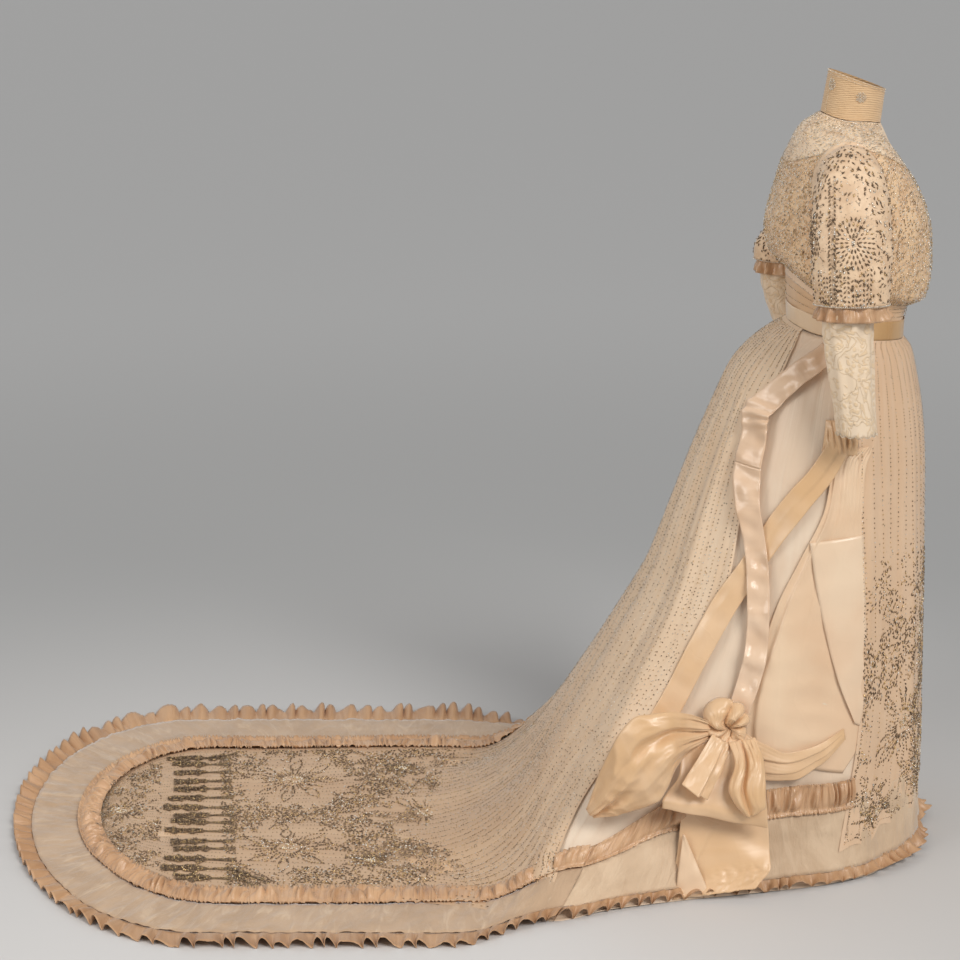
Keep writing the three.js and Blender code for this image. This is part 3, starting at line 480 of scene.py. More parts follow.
class Finish:
    """One material: a Principled shader with its steady values, and nodes that vary the rest."""

    def __init__(self, name, **steady):
        self.material = bpy.data.materials.new(name)
        self.material.use_nodes = True
        self.tree = self.material.node_tree
        self.tree.nodes.clear()
        end = self.tree.nodes.new("ShaderNodeOutputMaterial")
        self.shader = self.tree.nodes.new("ShaderNodeBsdfPrincipled")
        self.tree.links.new(self.shader.outputs[0], end.inputs[0])
        for key, value in steady.items():
            self.shader.inputs[key.replace("_", " ")].default_value = value
        self.place = self.node("TexCoord", output="Object")
        self.cloth = self.node("TexCoord", output="UV")
        self.relief = None

    def feed(self, socket, value):
        if isinstance(value, Socket):
            self.tree.links.new(value.socket, socket)
        else:
            socket.default_value = value

    def node(self, kind, settings=(), inputs=(), output=0):
        made = self.tree.nodes.new("ShaderNode" + kind)
        for key, value in dict(settings).items():
            setattr(made, key, value)
        for key, value in dict(inputs).items():
            self.feed(made.inputs[key], value)
        return Socket(self, made.outputs[output])

    def maths(self, operation, first, second=0.0):
        return self.node("Math", {"operation": operation}, {0: first, 1: second})

    def clamp(self, value):
        return self.node("Clamp", {}, {0: value})

    def step(self, value, low, high):
        """0 below low, 1 above high."""
        settings = {"interpolation_type": "SMOOTHSTEP"}
        return self.node("MapRange", settings, {0: value, 1: low, 2: high})

    def stretched(self, place, scale, turn=0.0):
        return self.node("Mapping", {}, {0: place, "Scale": scale, "Rotation": (0, 0, turn)})

    def noise(self, place, scale, detail=2.0, rough=0.5, bend=0.0):
        return self.node("TexNoise", {}, {
            "Vector": place, "Scale": scale, "Detail": detail, "Roughness": rough,
            "Distortion": bend,
        })

    def cells(self, place, scale, feature="F1", jumble=1.0):
        settings = {"feature": feature}
        inputs = {"Vector": place, "Scale": scale, "Randomness": jumble}
        return self.node("TexVoronoi", settings, inputs)

    def threads(self, place, scale, direction="X", bend=0.0):
        settings = {"wave_type": "BANDS", "bands_direction": direction}
        inputs = {"Vector": place, "Scale": scale, "Distortion": bend, "Detail": 1.0}
        return self.node("TexWave", settings, inputs, output=1)

    def specks(self, share, scale):
        """Round specks on a share of scattered cells."""
        cell = self.cells(self.place, scale)
        picked = self.noise(self.place, scale * 0.55, 0.0)
        least = 0.72 - 0.5 * share
        return self.step(0.42 - cell, 0.0, 0.12) * self.step(picked, least, 0.8 - 0.5 * share)

    def blend(self, first, second, share):
        colours = [c if isinstance(c, Socket) else (*c, 1) for c in (first, second)]
        inputs = {0: share, 6: colours[0], 7: colours[1]}
        return self.node("Mix", {"data_type": "RGBA"}, inputs, output=2)

    def shape(self, height, distance):
        """Adds a relief of that depth in metres to the ones before it."""
        inputs = {"Strength": 1.0, "Distance": distance, "Height": height}
        if self.relief is not None:
            inputs["Normal"] = self.relief
        self.relief = self.node("Bump", {}, inputs)

    def done(self, **varying):
        for key, value in varying.items():
            self.feed(self.shader.inputs[key.replace("_", " ")], value)
        if self.relief is not None:
            self.feed(self.shader.inputs["Normal"], self.relief)
        return self.material


def silk(name, light, dark, rough, crumple, sheen=0.2, pull=(14, 2.2, 1), facets=0.0, behind=None):
    """Woven silk: two close tones in slow clouds, long soft pulls along the cloth, the weft,
    and the flat facets of crushed taffeta. behind gives other tones for the back."""
    finish = Finish(name, Sheen_Weight=sheen, Sheen_Roughness=0.35, Anisotropic=0.35,
                    Specular_IOR_Level=0.6)
    clouds = finish.noise(finish.place, 6.0, 3.0, 0.5, 0.4)
    pulls = finish.noise(finish.stretched(finish.cloth, pull), 1.0, 3.0, 0.5, 0.6)
    finish.shape(pulls, crumple)
    if facets:
        flats = finish.cells(finish.stretched(finish.place, (11, 16, 8)), 1.0)
        small = finish.cells(finish.stretched(finish.place, (30, 22, 34)), 1.0)
        finish.shape(flats, facets)
        finish.shape(small, facets * 0.22)
    weft = finish.threads(finish.cloth, 420.0, "Y")
    finish.shape(weft, 0.00003)
    share = finish.step(finish.clamp(clouds * 0.6 + pulls * 0.4), 0.35, 0.66)
    tone = finish.blend(light, dark, share)
    if behind:
        back = finish.step(finish.node("SeparateXYZ", {}, {0: finish.place}, 1), -0.01, 0.05)
        tone = finish.blend(tone, finish.blend(*behind, share), back)
    return finish.done(Base_Color=tone, Roughness=rough + 0.16 * (pulls - 0.5))


def net_base(name, light, dark, cover, speck):
    """Fine net: close yarns that let some of the ground through, with drawn streaks and a
    sprinkling of tiny beads."""
    finish = Finish(name, Sheen_Weight=0.3, Sheen_Roughness=0.4, Specular_IOR_Level=0.4)
    streaks = finish.noise(finish.stretched(finish.cloth, (46, 1.3, 1)), 1.0, 3.0, 0.6, 0.3)
    clouds = finish.noise(finish.place, 9.0, 2.0)
    mesh = finish.cells(finish.cloth, 620.0, "DISTANCE_TO_EDGE")
    finish.shape(mesh, 0.00015)
    finish.shape(streaks, 0.0014)
    share = finish.step(streaks * 0.75 + clouds * 0.25, 0.34, 0.66)
    tone = finish.blend(light, dark, share)
    dots = finish.specks(speck, 210.0)
    alpha = finish.clamp(cover + 0.3 * (streaks - 0.5) + dots * 0.6)
    return finish, tone, share, dots, alpha, 0.6 + 0.1 * (clouds - 0.5)


TINY_BEAD = (0.30, 0.23, 0.15)


def front_net_finish():
    """The front panel's net: the plain base, with tiny dark beads on its dots."""
    light, dark = (0.86, 0.62, 0.42), (0.76, 0.52, 0.33)
    finish, tone, _, dots, alpha, rough = net_base("front_net", light, dark, 0.82, 0.02)
    tone = finish.blend(tone, TINY_BEAD, dots)
    return finish.done(Base_Color=tone, Roughness=rough, Alpha=alpha)


def back_net_finish():
    """The back net, which thickens by its Y as it runs on to the train, and there takes darker
    tones as painted shade for the net lying flat on the floor.
    """
    light, dark = (0.90, 0.70, 0.50), (0.78, 0.57, 0.38)
    finish, tone, share, dots, alpha, rough = net_base("back_net", light, dark, 0.86, 0.02)
    parts = finish.node("SeparateXYZ", {}, {0: finish.place}, 1)
    flat_net_shade_and_cover = finish.step(parts, 0.36, 0.72)
    # painted shade: darker tones for the net where it lies flat on the train
    low = finish.blend((0.60, 0.41, 0.255), (0.53, 0.35, 0.215), share)
    tone = finish.blend(finish.blend(tone, low, flat_net_shade_and_cover), TINY_BEAD, dots)
    return finish.done(Base_Color=tone, Roughness=rough, Alpha=finish.clamp(alpha + 0.32 * flat_net_shade_and_cover))


def bead(name, colour, second, metal, rough):
    """Glass or metal beads in two tones."""
    finish = Finish(name, Specular_IOR_Level=0.8, Coat_Roughness=0.1)
    which = finish.noise(finish.place, 260.0, 0.0)
    tone = finish.blend(colour, second, finish.step(which, 0.42, 0.58))
    shine = metal + 0.2 * (which - 0.5)
    return finish.done(Base_Color=tone, Roughness=rough + 0.1 * (which - 0.5), Metallic=shine,
                       Coat_Weight=0.3 * which)


def lace_finish():
    """Cream lace on net: sprays of small rounded cells gathered in cloudy patches with open
    ground between, a little proud of it and warmer."""
    finish = Finish("lace", Sheen_Weight=0.3, Sheen_Roughness=0.5, Specular_IOR_Level=0.3)
    patches = finish.noise(finish.cloth, 26.0, 2.0, 0.5, 1.2)
    petals = finish.cells(finish.cloth, 120.0, "F1", 0.9)
    net = finish.cells(finish.cloth, 480.0, "DISTANCE_TO_EDGE")
    clouds = finish.noise(finish.place, 14.0, 2.0)
    vine = finish.step(0.035 - finish.maths("ABSOLUTE", patches - 0.47), 0.0, 0.02)
    sprays = finish.step(patches, 0.5, 0.56) * finish.step(0.62 - petals, 0.0, 0.25)
    motif = finish.clamp(sprays + vine)
    finish.shape(motif, 0.0008)
    finish.shape(net, 0.0002)
    ground = finish.blend((0.88, 0.72, 0.54), (0.80, 0.61, 0.42), clouds)
    tone = finish.blend(ground, (0.76, 0.54, 0.31), motif * 0.6)
    return finish.done(Base_Color=tone, Roughness=0.6 - 0.12 * motif)


def tulle_finish(name, light, dark):
    """Two layers of tulle over satin: matt, mottled, with fine crossing crinkles."""
    finish = Finish(name, Sheen_Weight=0.4, Sheen_Roughness=0.5, Specular_IOR_Level=0.3)
    clouds = finish.noise(finish.place, 11.0, 4.0, 0.6, 0.6)
    crinkle = finish.noise(finish.stretched(finish.cloth, (34, 9, 1)), 1.0, 4.0, 0.6, 1.2)
    mesh = finish.cells(finish.cloth, 520.0, "DISTANCE_TO_EDGE")
    finish.shape(crinkle, 0.0035)
    finish.shape(clouds, 0.003)
    finish.shape(mesh, 0.0002)
    tone = finish.blend(light, dark, finish.step(clouds, 0.32, 0.68))
    tone = finish.blend(tone, (0.72, 0.55, 0.38), finish.step(crinkle, 0.5, 0.75) * 0.55)
    return finish.done(Base_Color=tone, Roughness=0.6 + 0.1 * (clouds - 0.5))


def rib_finish(name, light, dark):
    """Ribbed net of the collar: fine level ribs over a warm lining."""
    finish = Finish(name, Sheen_Weight=0.3, Sheen_Roughness=0.5, Specular_IOR_Level=0.3)
    ribs = finish.threads(finish.place, 95.0, "Z", 0.8)
    clouds = finish.noise(finish.place, 40.0, 3.0)
    cross = finish.cells(finish.cloth, 420.0, "DISTANCE_TO_EDGE")
    finish.shape(ribs, 0.0008)
    finish.shape(cross, 0.0006)
    tone = finish.blend(dark, light, finish.clamp(ribs * 0.5 + clouds * 0.5))
    return finish.done(Base_Color=tone, Roughness=0.6 + 0.1 * (clouds - 0.5))


def worked_net(name, light, dark, many, pale):
    """Net worked all over with fine beads: a warm ground, clouds of tone, and specks of dark
    and of silver that stand up from it."""
    finish = Finish(name, Sheen_Weight=0.25, Sheen_Roughness=0.4, Specular_IOR_Level=0.6)
    clouds = finish.noise(finish.place, 30.0, 3.0, 0.6, 0.4)
    which = finish.noise(finish.place, 120.0, 2.0)
    tone = finish.blend(light, dark, finish.step(clouds, 0.35, 0.68))
    dots = finish.specks(many, 290.0)
    glints = finish.specks(pale, 330.0)
    finish.shape(dots, 0.0007)
    finish.shape(glints, 0.0008)
    tone = finish.blend(tone, (0.22, 0.16, 0.10), dots * finish.step(which, 0.38, 0.55))
    tone = finish.blend(tone, (0.96, 0.88, 0.74), glints)
    return finish.done(Base_Color=tone, Roughness=0.55 - 0.25 * glints)


FINISH = {
    "apricot_satin": silk("apricot_satin", (0.78, 0.54, 0.34), (0.68, 0.44, 0.25), 0.36, 0.003),
    "belt_satin": silk("belt_satin", (0.60, 0.38, 0.18), (0.50, 0.29, 0.12), 0.24, 0.002,
                       behind=((0.88, 0.72, 0.54), (0.78, 0.57, 0.37))),
    "frill_satin": silk("frill_satin", (0.58, 0.355, 0.195), (0.43, 0.235, 0.115), 0.42, 0.003,
                        pull=(80, 6, 1)),
    "ruche_satin": silk("ruche_satin", (0.67, 0.425, 0.245), (0.50, 0.285, 0.15), 0.26, 0.0045,
                        pull=(100, 9, 1)),
    "ivory_satin": silk("ivory_satin", (0.84, 0.69, 0.53), (0.76, 0.58, 0.42), 0.4, 0.003,
                        pull=(26, 1.5, 1)),
    "taffeta": silk("taffeta", (0.81, 0.56, 0.345), (0.71, 0.45, 0.235), 0.3, 0.002,
                    0.25, (3, 12, 1), 0.003),
    "drape_taffeta": silk("drape_taffeta", (0.84, 0.63, 0.43), (0.77, 0.53, 0.34), 0.3, 0.002,
                          0.25, (5, 3, 1), 0.003),
    "white_ribbon": silk("white_ribbon", (0.84, 0.62, 0.44), (0.68, 0.45, 0.28), 0.18, 0.004,
                         0.2, (2, 14, 1), 0.002),
    "pale_ribbon": silk("pale_ribbon", (0.85, 0.655, 0.465), (0.79, 0.56, 0.375), 0.26, 0.003,
                        0.2, (12, 3, 1), 0.003),
    "tulle": tulle_finish("tulle", (0.66, 0.49, 0.33), (0.56, 0.40, 0.26)),
    # a darker copy of the tulle: painted shade for the band lying flat on the train
    "flat_shaded_tulle": tulle_finish("flat_shaded_tulle", (0.54, 0.375, 0.24), (0.455, 0.31, 0.195)),
    "lace": lace_finish(),
    "collar": rib_finish("collar_net", (0.86, 0.61, 0.37), (0.70, 0.44, 0.22)),
    "lining": rib_finish("collar_lining", (0.60, 0.38, 0.19), (0.46, 0.27, 0.12)),
    "beaded": worked_net("beaded_net", (0.87, 0.61, 0.37), (0.75, 0.495, 0.29), 0.16, 0.42),
    "cap": worked_net("cap_net", (0.84, 0.61, 0.40), (0.70, 0.48, 0.30), 0.24, 0.16),
    "yoke": worked_net("worked_net", (0.93, 0.72, 0.50), (0.80, 0.58, 0.385), 0.04, 0.3),
    "front_net": front_net_finish(),
    "back_net": back_net_finish(),
    "dark_bead": bead("dark_bead", (0.13, 0.085, 0.05), (0.30, 0.20, 0.115), 0.3, 0.3),
    "silver_bead": bead("silver_bead", (0.98, 0.95, 0.88), (0.86, 0.78, 0.66), 0.45, 0.14),
    "gold_bead": bead("gold_bead", (0.88, 0.63, 0.31), (0.50, 0.34, 0.17), 0.5, 0.2),
    "pearl": bead("pearl", (0.92, 0.86, 0.74), (0.82, 0.68, 0.5), 0.1, 0.25),
}


# ---- meshes --------------------------------------------------------------------------------
def metres(points):
    """Millimetres above the floor to metres from the shoulders."""
    return (points - np.array([0, 0, SHOULDER])) / 1000


def make_mesh(name, points, faces, uv=None, smooth_faces=True):
    """A mesh object from arrays of points, of faces with equal corner counts, and of the
    cloth coordinates of the faces' corners."""
    mesh = bpy.data.meshes.new(name)
    used, faces_flat = np.unique(faces.ravel(), return_inverse=True)
    corners = faces.shape[1]
    mesh.vertices.add(len(used))
    mesh.vertices.foreach_set("co", metres(points[used]).astype(np.float32).ravel())
    mesh.loops.add(len(faces_flat))
    mesh.loops.foreach_set("vertex_index", faces_flat.astype(np.int32).ravel())
    mesh.polygons.add(len(faces))
    mesh.polygons.foreach_set("loop_start", np.arange(0, len(faces_flat), corners, dtype=np.int32))
    mesh.polygons.foreach_set("use_smooth", np.full(len(faces), smooth_faces))
    if uv is not None:
        layer = mesh.uv_layers.new(name="cloth")
        layer.data.foreach_set("uv", uv.astype(np.float32).ravel())
    mesh.update(calc_edges=True)
    mesh.validate()
    thing = bpy.data.objects.new(name, mesh)
    bpy.context.scene.collection.objects.link(thing)
    return thing


def lengths(points):
    """Metres along each row and down each column of a grid, averaged, from its first corner."""
    across = np.linalg.norm(np.diff(points, axis=1), axis=-1).mean(0)
    down = np.linalg.norm(np.diff(points, axis=0), axis=-1).mean(1)
    return running(across) / 1000, running(down) / 1000


def place_piece(thing, finish, nodes=()):
    """Gives a piece its material and body, and hides the nodes it stands for."""
    thing.data.materials.append(FINISH[finish])
    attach(thing, "root")
    if nodes:
        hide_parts(*nodes)
    return thing


def cloth(name, points, finish, nodes=(), around=False,
          wall=0.9, keep=None):
    """A piece of cloth on a grid of points, rows downwards and columns round the figure, with
    a thin wall inwards. It works out the lengths of its longest row and column and the grid's
    flat area, but keeps none of them."""
    rows, columns = points.shape[:2]
    grid = np.concatenate([points, points[:, :1]], 1) if around else points
    i, j = np.meshgrid(np.arange(rows - 1), np.arange(grid.shape[1] - 1), indexing="ij")
    wide = grid.shape[1]

    def number(a, b):
        return a * columns + (b % columns)
    faces = np.stack([number(i, j), number(i, j + 1), number(i + 1, j + 1), number(i + 1, j)], -1)
    u, v = lengths(grid)
    uv = np.stack([np.stack([u[j], v[i]], -1), np.stack([u[j + 1], v[i]], -1),
                   np.stack([u[j + 1], v[i + 1]], -1), np.stack([u[j], v[i + 1]], -1)], -2)
    if keep is not None:
        faces, uv = faces[keep], uv[keep]
    faces, uv = faces.reshape(-1, 4), uv.reshape(-1, 4, 2)
    thing = make_mesh(name, points.reshape(-1, 3), faces, uv)
    if wall:
        solid = thing.modifiers.new("wall", "SOLIDIFY")
        solid.thickness = wall / 1000
        solid.offset = -1
    place_piece(thing, finish, nodes)
    flat = grid.reshape(-1, 3)[(i * wide + j).ravel()]
    right = grid.reshape(-1, 3)[(i * wide + j + 1).ravel()]
    low = grid.reshape(-1, 3)[((i + 1) * wide + j).ravel()]
    cells = np.linalg.norm(np.cross(right - flat, low - flat), axis=-1).reshape(i.shape) / 1e6
    area = float(cells[keep].sum() if keep is not None else cells.sum())
    width = float(np.linalg.norm(np.diff(grid, axis=1), axis=-1).sum(1).max()) / 1000
    length = float(np.linalg.norm(np.diff(grid, axis=0), axis=-1).sum(0).max()) / 1000
    width, length = round(width, 2), max(round(length, 2), 0.01)
    area = min(max(area, 0.31 * width * length), 0.99 * width * length)
    return thing


def span(low, high, count):
    """Evenly spaced numbers, both ends included."""
    return np.linspace(low, high, count)


def grid_of(u, v):
    """Rows of v by columns of u."""
    uu, vv = np.meshgrid(u, v)
    return uu, vv


def closed_turns(count):
    """Angles evenly round a full turn, which ends one step before it meets its start."""
    return np.arange(count) * 2 * np.pi / count


# ---- bodice --------------------------------------------------------------------------------
def from_armhole(points):
    """How far points lie from the nearer armhole's middle, 1 at its rim, and whether they are
    far enough to the side to be near it."""
    y = (points[..., 1] - ARMHOLE["y"]) / ARMHOLE["depth"]
    z = (points[..., 2] - ARMHOLE["z"]) / ARMHOLE["height"]
    return np.hypot(y, z), np.abs(points[..., 0]) > 90


def cut_armholes(points):
    """Drops the faces inside the armholes and draws the corners left inside out to their rim."""
    far, beside = from_armhole(points)
    inside = (far < 1) & beside
    wrap = np.concatenate([inside, inside[:, :1]], 1)
    gone = wrap[:-1, :-1] & wrap[1:, :-1] & wrap[:-1, 1:] & wrap[1:, 1:]
    scale = np.where(inside, 1 / np.maximum(far, 0.2), 1.0)
    points[..., 1] = ARMHOLE["y"] + (points[..., 1] - ARMHOLE["y"]) * scale
    points[..., 2] = ARMHOLE["z"] + (points[..., 2] - ARMHOLE["z"]) * scale
    return points, ~gone


def body_cloth(name, rows, turns, finish, nodes, out, armholes=False, around=True):
    """A band of the body surface; out gives how far it stands off for its turns and rows."""
    u, v = grid_of(turns, rows)
    points = BODY.at(u, v, out(u, v))
    keep = None
    if armholes:
        points, keep = cut_armholes(points)
    return cloth(name, points, finish, nodes, around=around, keep=keep)


def make_bodice():
    """Collar, yoke, pouched bodice, midriff, ribbon and belt."""
    u, v = grid_of(closed_turns(100), span(0, 1, 40))
    ribs = 0.35 * np.cos(2 * np.pi * v * 13)
    collar = cloth("collar_net", COLLAR.at(u, v, ribs), "collar", ["collar"],
                   around=True)
    collar.data.materials.append(FINISH["lining"])
    collar.modifiers["wall"].material_offset = 1

    def yoke_out(u, v):
        swell = drift(np.sin(u) * 90, v * 45, 3, 40)
        return 0.9 * ramp(v, 1.6, 2.0) + 0.5 * swell * ramp(v, 0.2, 1)
    body_cloth("yoke_net", span(0.02, 2.05, 24), closed_turns(128), "yoke",
               ["yoke_front", "yoke_back"], yoke_out, True)

    def bodice_out(u, v):
        gathers = pleats(u * 26 / np.pi + 0.2 * np.sin(5 * u), 1.2)
        gathers = gathers * (1.4 * ramp(v, 4.6, 6.4) + 0.3)
        soft = 1.6 * drift(u * 150, v * 50, 5, 70) * ramp(v, 2.4, 3.6)
        return gathers + soft - 0.6
    body_cloth("bodice_net", span(1.96, 7.0, 48), closed_turns(156), "beaded",
               ["bodice_front", "bodice_back"], bodice_out, True)

    def midriff_out(u, v):
        folds = 0.5 * pleats(v * 3.4 + 0.06 * np.sin(9 * u), 1.0)
        return -2.2 + folds + 0.6 * drift(u * 120, v * 20, 7, 45)
    body_cloth("midriff_satin", span(7.0, 10.0, 26), closed_turns(100), "apricot_satin",
               ["midriff"], midriff_out)

    def ribbon_out(u, v):
        return -0.2 + 0.5 * np.sin(np.pi * (v - 7)) + 0.5 * drift(u * 130, v * 30, 8, 60)
    body_cloth("upper_ribbon_satin", span(7.04, 7.66, 9), span(0.58 * np.pi, 1.42 * np.pi, 60),
               "pale_ribbon", ["upper_ribbon"], ribbon_out, around=False)

    def belt_out(u, v):
        return 0.2 + 0.9 * np.sin(np.pi * (v - 9)) ** 0.5 + 0.6 * drift(u * 130, v * 30, 9, 50)
    body_cloth("belt_satin", span(9.0, 10.0, 12), closed_turns(112), "belt_satin",
               ["belt"], belt_out)


# ---- sleeves -------------------------------------------------------------------------------
def sleeve(rows, side):
    """A sleeve's rings as a surface of angle and row."""
    return Surface(sleeve_form(rows, side), (0.01, 0.02))


def tube(name, points, side, finish, nodes, wall=0.9):
    """A tube of cloth round an arm; the left one's columns are turned to face outwards."""
    points = points if side > 0 else points[:, ::-1]
    cloth(name, points, finish, nodes, around=True, wall=wall)


def lace_foot(a):
    """The row on which the lace sleeve ends, in seven scallops to each half turn."""
    return 4 - 0.07 * (1 - np.abs(np.sin(a * 7)))


CAP_PLEAT = 2.18       # angle round the cap where its middle pleat falls
PLEAT_DEPTH = 3.0
CAP_HEAD = dict(depth=66, height=78)       # half sizes of the cap's ring at the armhole
FRILL_LOOPS = 11


def cap_out(a, row):
    """The cap: a pressed pleat down its middle, an oval inset a little sunk, and soft swells."""
    pleat = -PLEAT_DEPTH * np.exp(-((a - CAP_PLEAT) / 0.05) ** 2) * ramp(row, 2.2, 3.0)
    rim = np.hypot((a - 1.9) / 0.95, (row - 5.3) / 3.1)
    inset = -0.9 * (1 - ramp(rim, 0.94, 1.0))
    swell = 1.2 * drift(a * 60, row * 45, 12, 60) * ramp(row, 1.2, 2.2)
    return pleat + inset + swell


def lower_out(a, row):
    """The lace sleeve: long soft folds, a few crosswise wrinkles at the elbow, a scalloped foot."""
    folds = 1.5 * np.sin(9 * a + 0.7 * np.sin(row)) * (0.35 + 0.65 * np.sin(np.pi * row / 4.4) ** 2)
    cross = 0.9 * np.sin(row * 11 + 2 * np.sin(a)) * np.exp(-((row - 1.4) / 0.7) ** 2)
    return folds + cross


def make_sleeves():
    """Both sleeves: beaded cap, gathered satin frill and lace lower sleeve."""
    for hand, side in (("right", 1), ("left", -1)):
        cap = sleeve(CAP_ROWS, side)
        a, row = grid_of(closed_turns(112), span(0, 6, 44))
        tube(f"cap_net_{hand}", cap.at(a, row, cap_out(a, row) * side), side, "cap",
             [f"oversleeve_{hand}"])

        turns = closed_turns(120)
        arm_y = ARMHOLE["y"] + ARMHOLE["depth"] * 1.02 * np.sin(turns + np.pi)
        arm_z = ARMHOLE["z"] + ARMHOLE["height"] * 1.02 * np.cos(turns)
        on_body = BODY.at(*find_arm(arm_y, arm_z), 1.8) * np.array([side, 1, 1])
        fine = span(0, 2 * np.pi, 721)
        ring = cap.at(fine, 0 * fine + 0.1, 0.0)
        behind, above = ring[:, 1] - ARMHOLE["y"], ring[:, 2] - ARMHOLE["z"]
        ring_turn = np.arctan2(-behind / CAP_HEAD["depth"], above / CAP_HEAD["height"])
        ring_turn = ring_turn % (2 * np.pi)
        order = np.argsort(ring_turn)
        on_cap = np.stack([
            np.interp(turns, ring_turn[order], ring[order, k], period=2 * np.pi) for k in range(3)
        ], -1)
        across = span(0, 1, 8)
        bridge = mix(on_body[None], on_cap[None], across[:, None, None])
        bridge[..., 2] += 3 * np.sin(np.pi * across)[:, None] * np.cos(turns)
        tube(f"cap_head_{hand}", bridge, side, "cap", [], wall=0)

        def frill_out(a, row):
            phase = FRILL_LOOPS * a + 1.1 * np.sin(2 * a + side) + 0.7 * np.sin(5 * a)
            tall = 1 + 0.4 * np.sin(3 * a + 2)
            return (0.6 + 3.4 * row * tall) * np.cos(phase) + 1.3 * drift(a * 60, row * 20, 15, 20)
        a, row = grid_of(closed_turns(FRILL_LOOPS * 18), span(0, 2, 12))
        points = sleeve(FRILL_ROWS, side).at(a, row, frill_out(a, row) * side)
        tube(f"cap_frill_{hand}", points, side, "ruche_satin",
             [f"sleeve_frill_{hand}"])

        a, v = grid_of(closed_turns(104), span(0, 1, 46))
        row = v * lace_foot(a)
        points = sleeve(LOWER_ROWS, side).at(a, row, lower_out(a, row) * side)
        tube(f"lace_sleeve_{hand}", points, side, "lace", [f"undersleeve_{hand}"])


# ---- skirt ---------------------------------------------------------------------------------
def skirt_soft(w, row, seed, depth):
    """Fine gathers below the waist that open into long uneven flutes."""
    gather = pleats(w * 44 + 0.3 * np.sin(17 * w), 1.1) * np.exp(-row / 1.3)
    flute = drift(w * AROUND, row * 7, seed, 62) * ramp(row, 0.4, 4)
    return 1.8 * gather + depth * flute


def ruche_rows(w):
    """The ruche's two edges as rows of the skirt, lower where the train begins."""
    drop = ramp(np.abs(w), 0.66, TRIM_END) ** 2
    return 8.93 + 0.82 * drop, 9.65 + 1.05 * drop


def ruched(along, v, seed, spacing, high):
    """A gathered strip: slanting puffs about one spacing apart, some full and some slight, with
    deep tucks between, flat along the seam near its outer edge, and a crimped heading beyond."""
    lean = 0.8 * spacing * drift(along, 0 * v, seed + 3, 130)
    phase = (along + lean * (v - 0.5)) / spacing + 0.42 * drift(along, v * 25, seed, 48)
    puff = (0.5 + 0.5 * np.cos(2 * np.pi * phase)) ** 0.75
    second = pleats(1.9 * phase + 0.25, 0.8)
    full = np.clip(0.8 + 0.45 * drift(along, 0 * v, seed + 5, 3 * spacing), 0.35, 1.35)
    across = np.sin(np.pi * np.clip(v / 0.82, 0, 1)) ** 0.55
    crimp = pleats(3.3 * phase, 0.9)
    heading = np.clip(v - 0.84, 0, 1) * 3.0 + np.clip(0.1 - v, 0, 1) * 5.0
    body = across * full * (0.1 + 0.72 * puff + 0.22 * second)
    return high * (body + heading * (0.25 + 0.75 * crimp))


def ruffle(along, v, seed, spacing, high):
    """A ruffle: uneven cones that open towards its free edge, with crests that swell
    sideways over the hollows between."""
    phase = 2 * np.pi * along / spacing + 1.6 * drift(along, 0 * v, seed, spacing * 2.2)
    tall = high * np.clip(1 + 0.4 * drift(along, 0 * v, seed + 1, spacing * 2.5), 0.5, 1.25)
    wave = ((1 + np.cos(phase)) / 2) ** 1.25
    out = tall * v ** 0.75 * wave + 1.2 * v * drift(along, v * 40, seed + 2, 9)
    return out, spacing * 0.14 * np.sin(phase + 0.6) * v


def above_floor(points, low=1.3):
    """Points with none lower than a height over the floor."""
    points[..., 2] = np.maximum(points[..., 2], low)
    return points


def make_skirt():
    """The satin skirt in one shell, its tulle band, ruches and hem frill."""
    w, row = grid_of(np.arange(160) * 2 / 160, span(0, HEM_ROW, 72))
    share = around(w)[1]
    row = row * mix(1, 0.86, ramp(share, TRIM_END + 0.01, 0.83))
    soft = 1.5 * drift(w * AROUND, row * 12, 21, 100) * ramp(row, 0, 3)
    soft = soft - 7.0 * ramp(row, 9.0, 11.0) * ramp(share, 0.68, TRIM_END + 0.02)
    cloth("skirt_satin", above_floor(SKIRT.at(w, row, soft - 1.2)), "ivory_satin",
          ["skirt_front", "skirt_right", "skirt_back", "skirt_left"], around=True)

    w, v = grid_of(span(-TRIM_END, TRIM_END, 300), span(0, 1, 15))
    row = mix(ruche_rows(w)[1] - 0.05, 11.98, v)
    crinkle = 1.8 * np.abs(drift(w * AROUND, v * 30, 22, 15))
    crinkle = crinkle + 1.2 * drift(w * AROUND, v * 90, 23, 60)
    crinkle = 1.8 + crinkle * (1 - ramp(np.abs(w), TRIM_END - 0.05, TRIM_END))
    cloth("skirt_band_tulle", SKIRT.at(w, row, crinkle), "tulle", ["skirt_band"])

    for hand, side in (("right", 1), ("left", -1)):
        w, v = grid_of(span(0.40, TRIM_END, 280), span(0, 1, 13))
        w = w if side > 0 else -w[:, ::-1]
        row = mix(*ruche_rows(w), v)
        puff = 1.6 + ruched(w * 1500, v, 25 + side, 25.0, 17.0)
        cloth(f"skirt_ruche_satin_{hand}", SKIRT.at(w, row, puff), "ruche_satin",
              [f"skirt_ruche_{hand}"])

    hem = span(-TRIM_END, TRIM_END, 400)
    line = SKIRT.at(hem, np.full(len(hem), FRILL_ROW))
    hem_along = running(np.linalg.norm(np.diff(line, axis=0), axis=1))
    along, v = grid_of(span(0, hem_along[-1], 900), span(0, 1, 8))
    out, shift = ruffle(along, v, 26, 31.0, 24.0)
    place = np.interp(along + shift, hem_along, hem)
    points = SKIRT.at(place, mix(11.9, 12.99 - 0.022 * out, v), 1.4 + out)
    cloth("hem_frill_satin", above_floor(points), "frill_satin",
          ["skirt_hem_frill"])


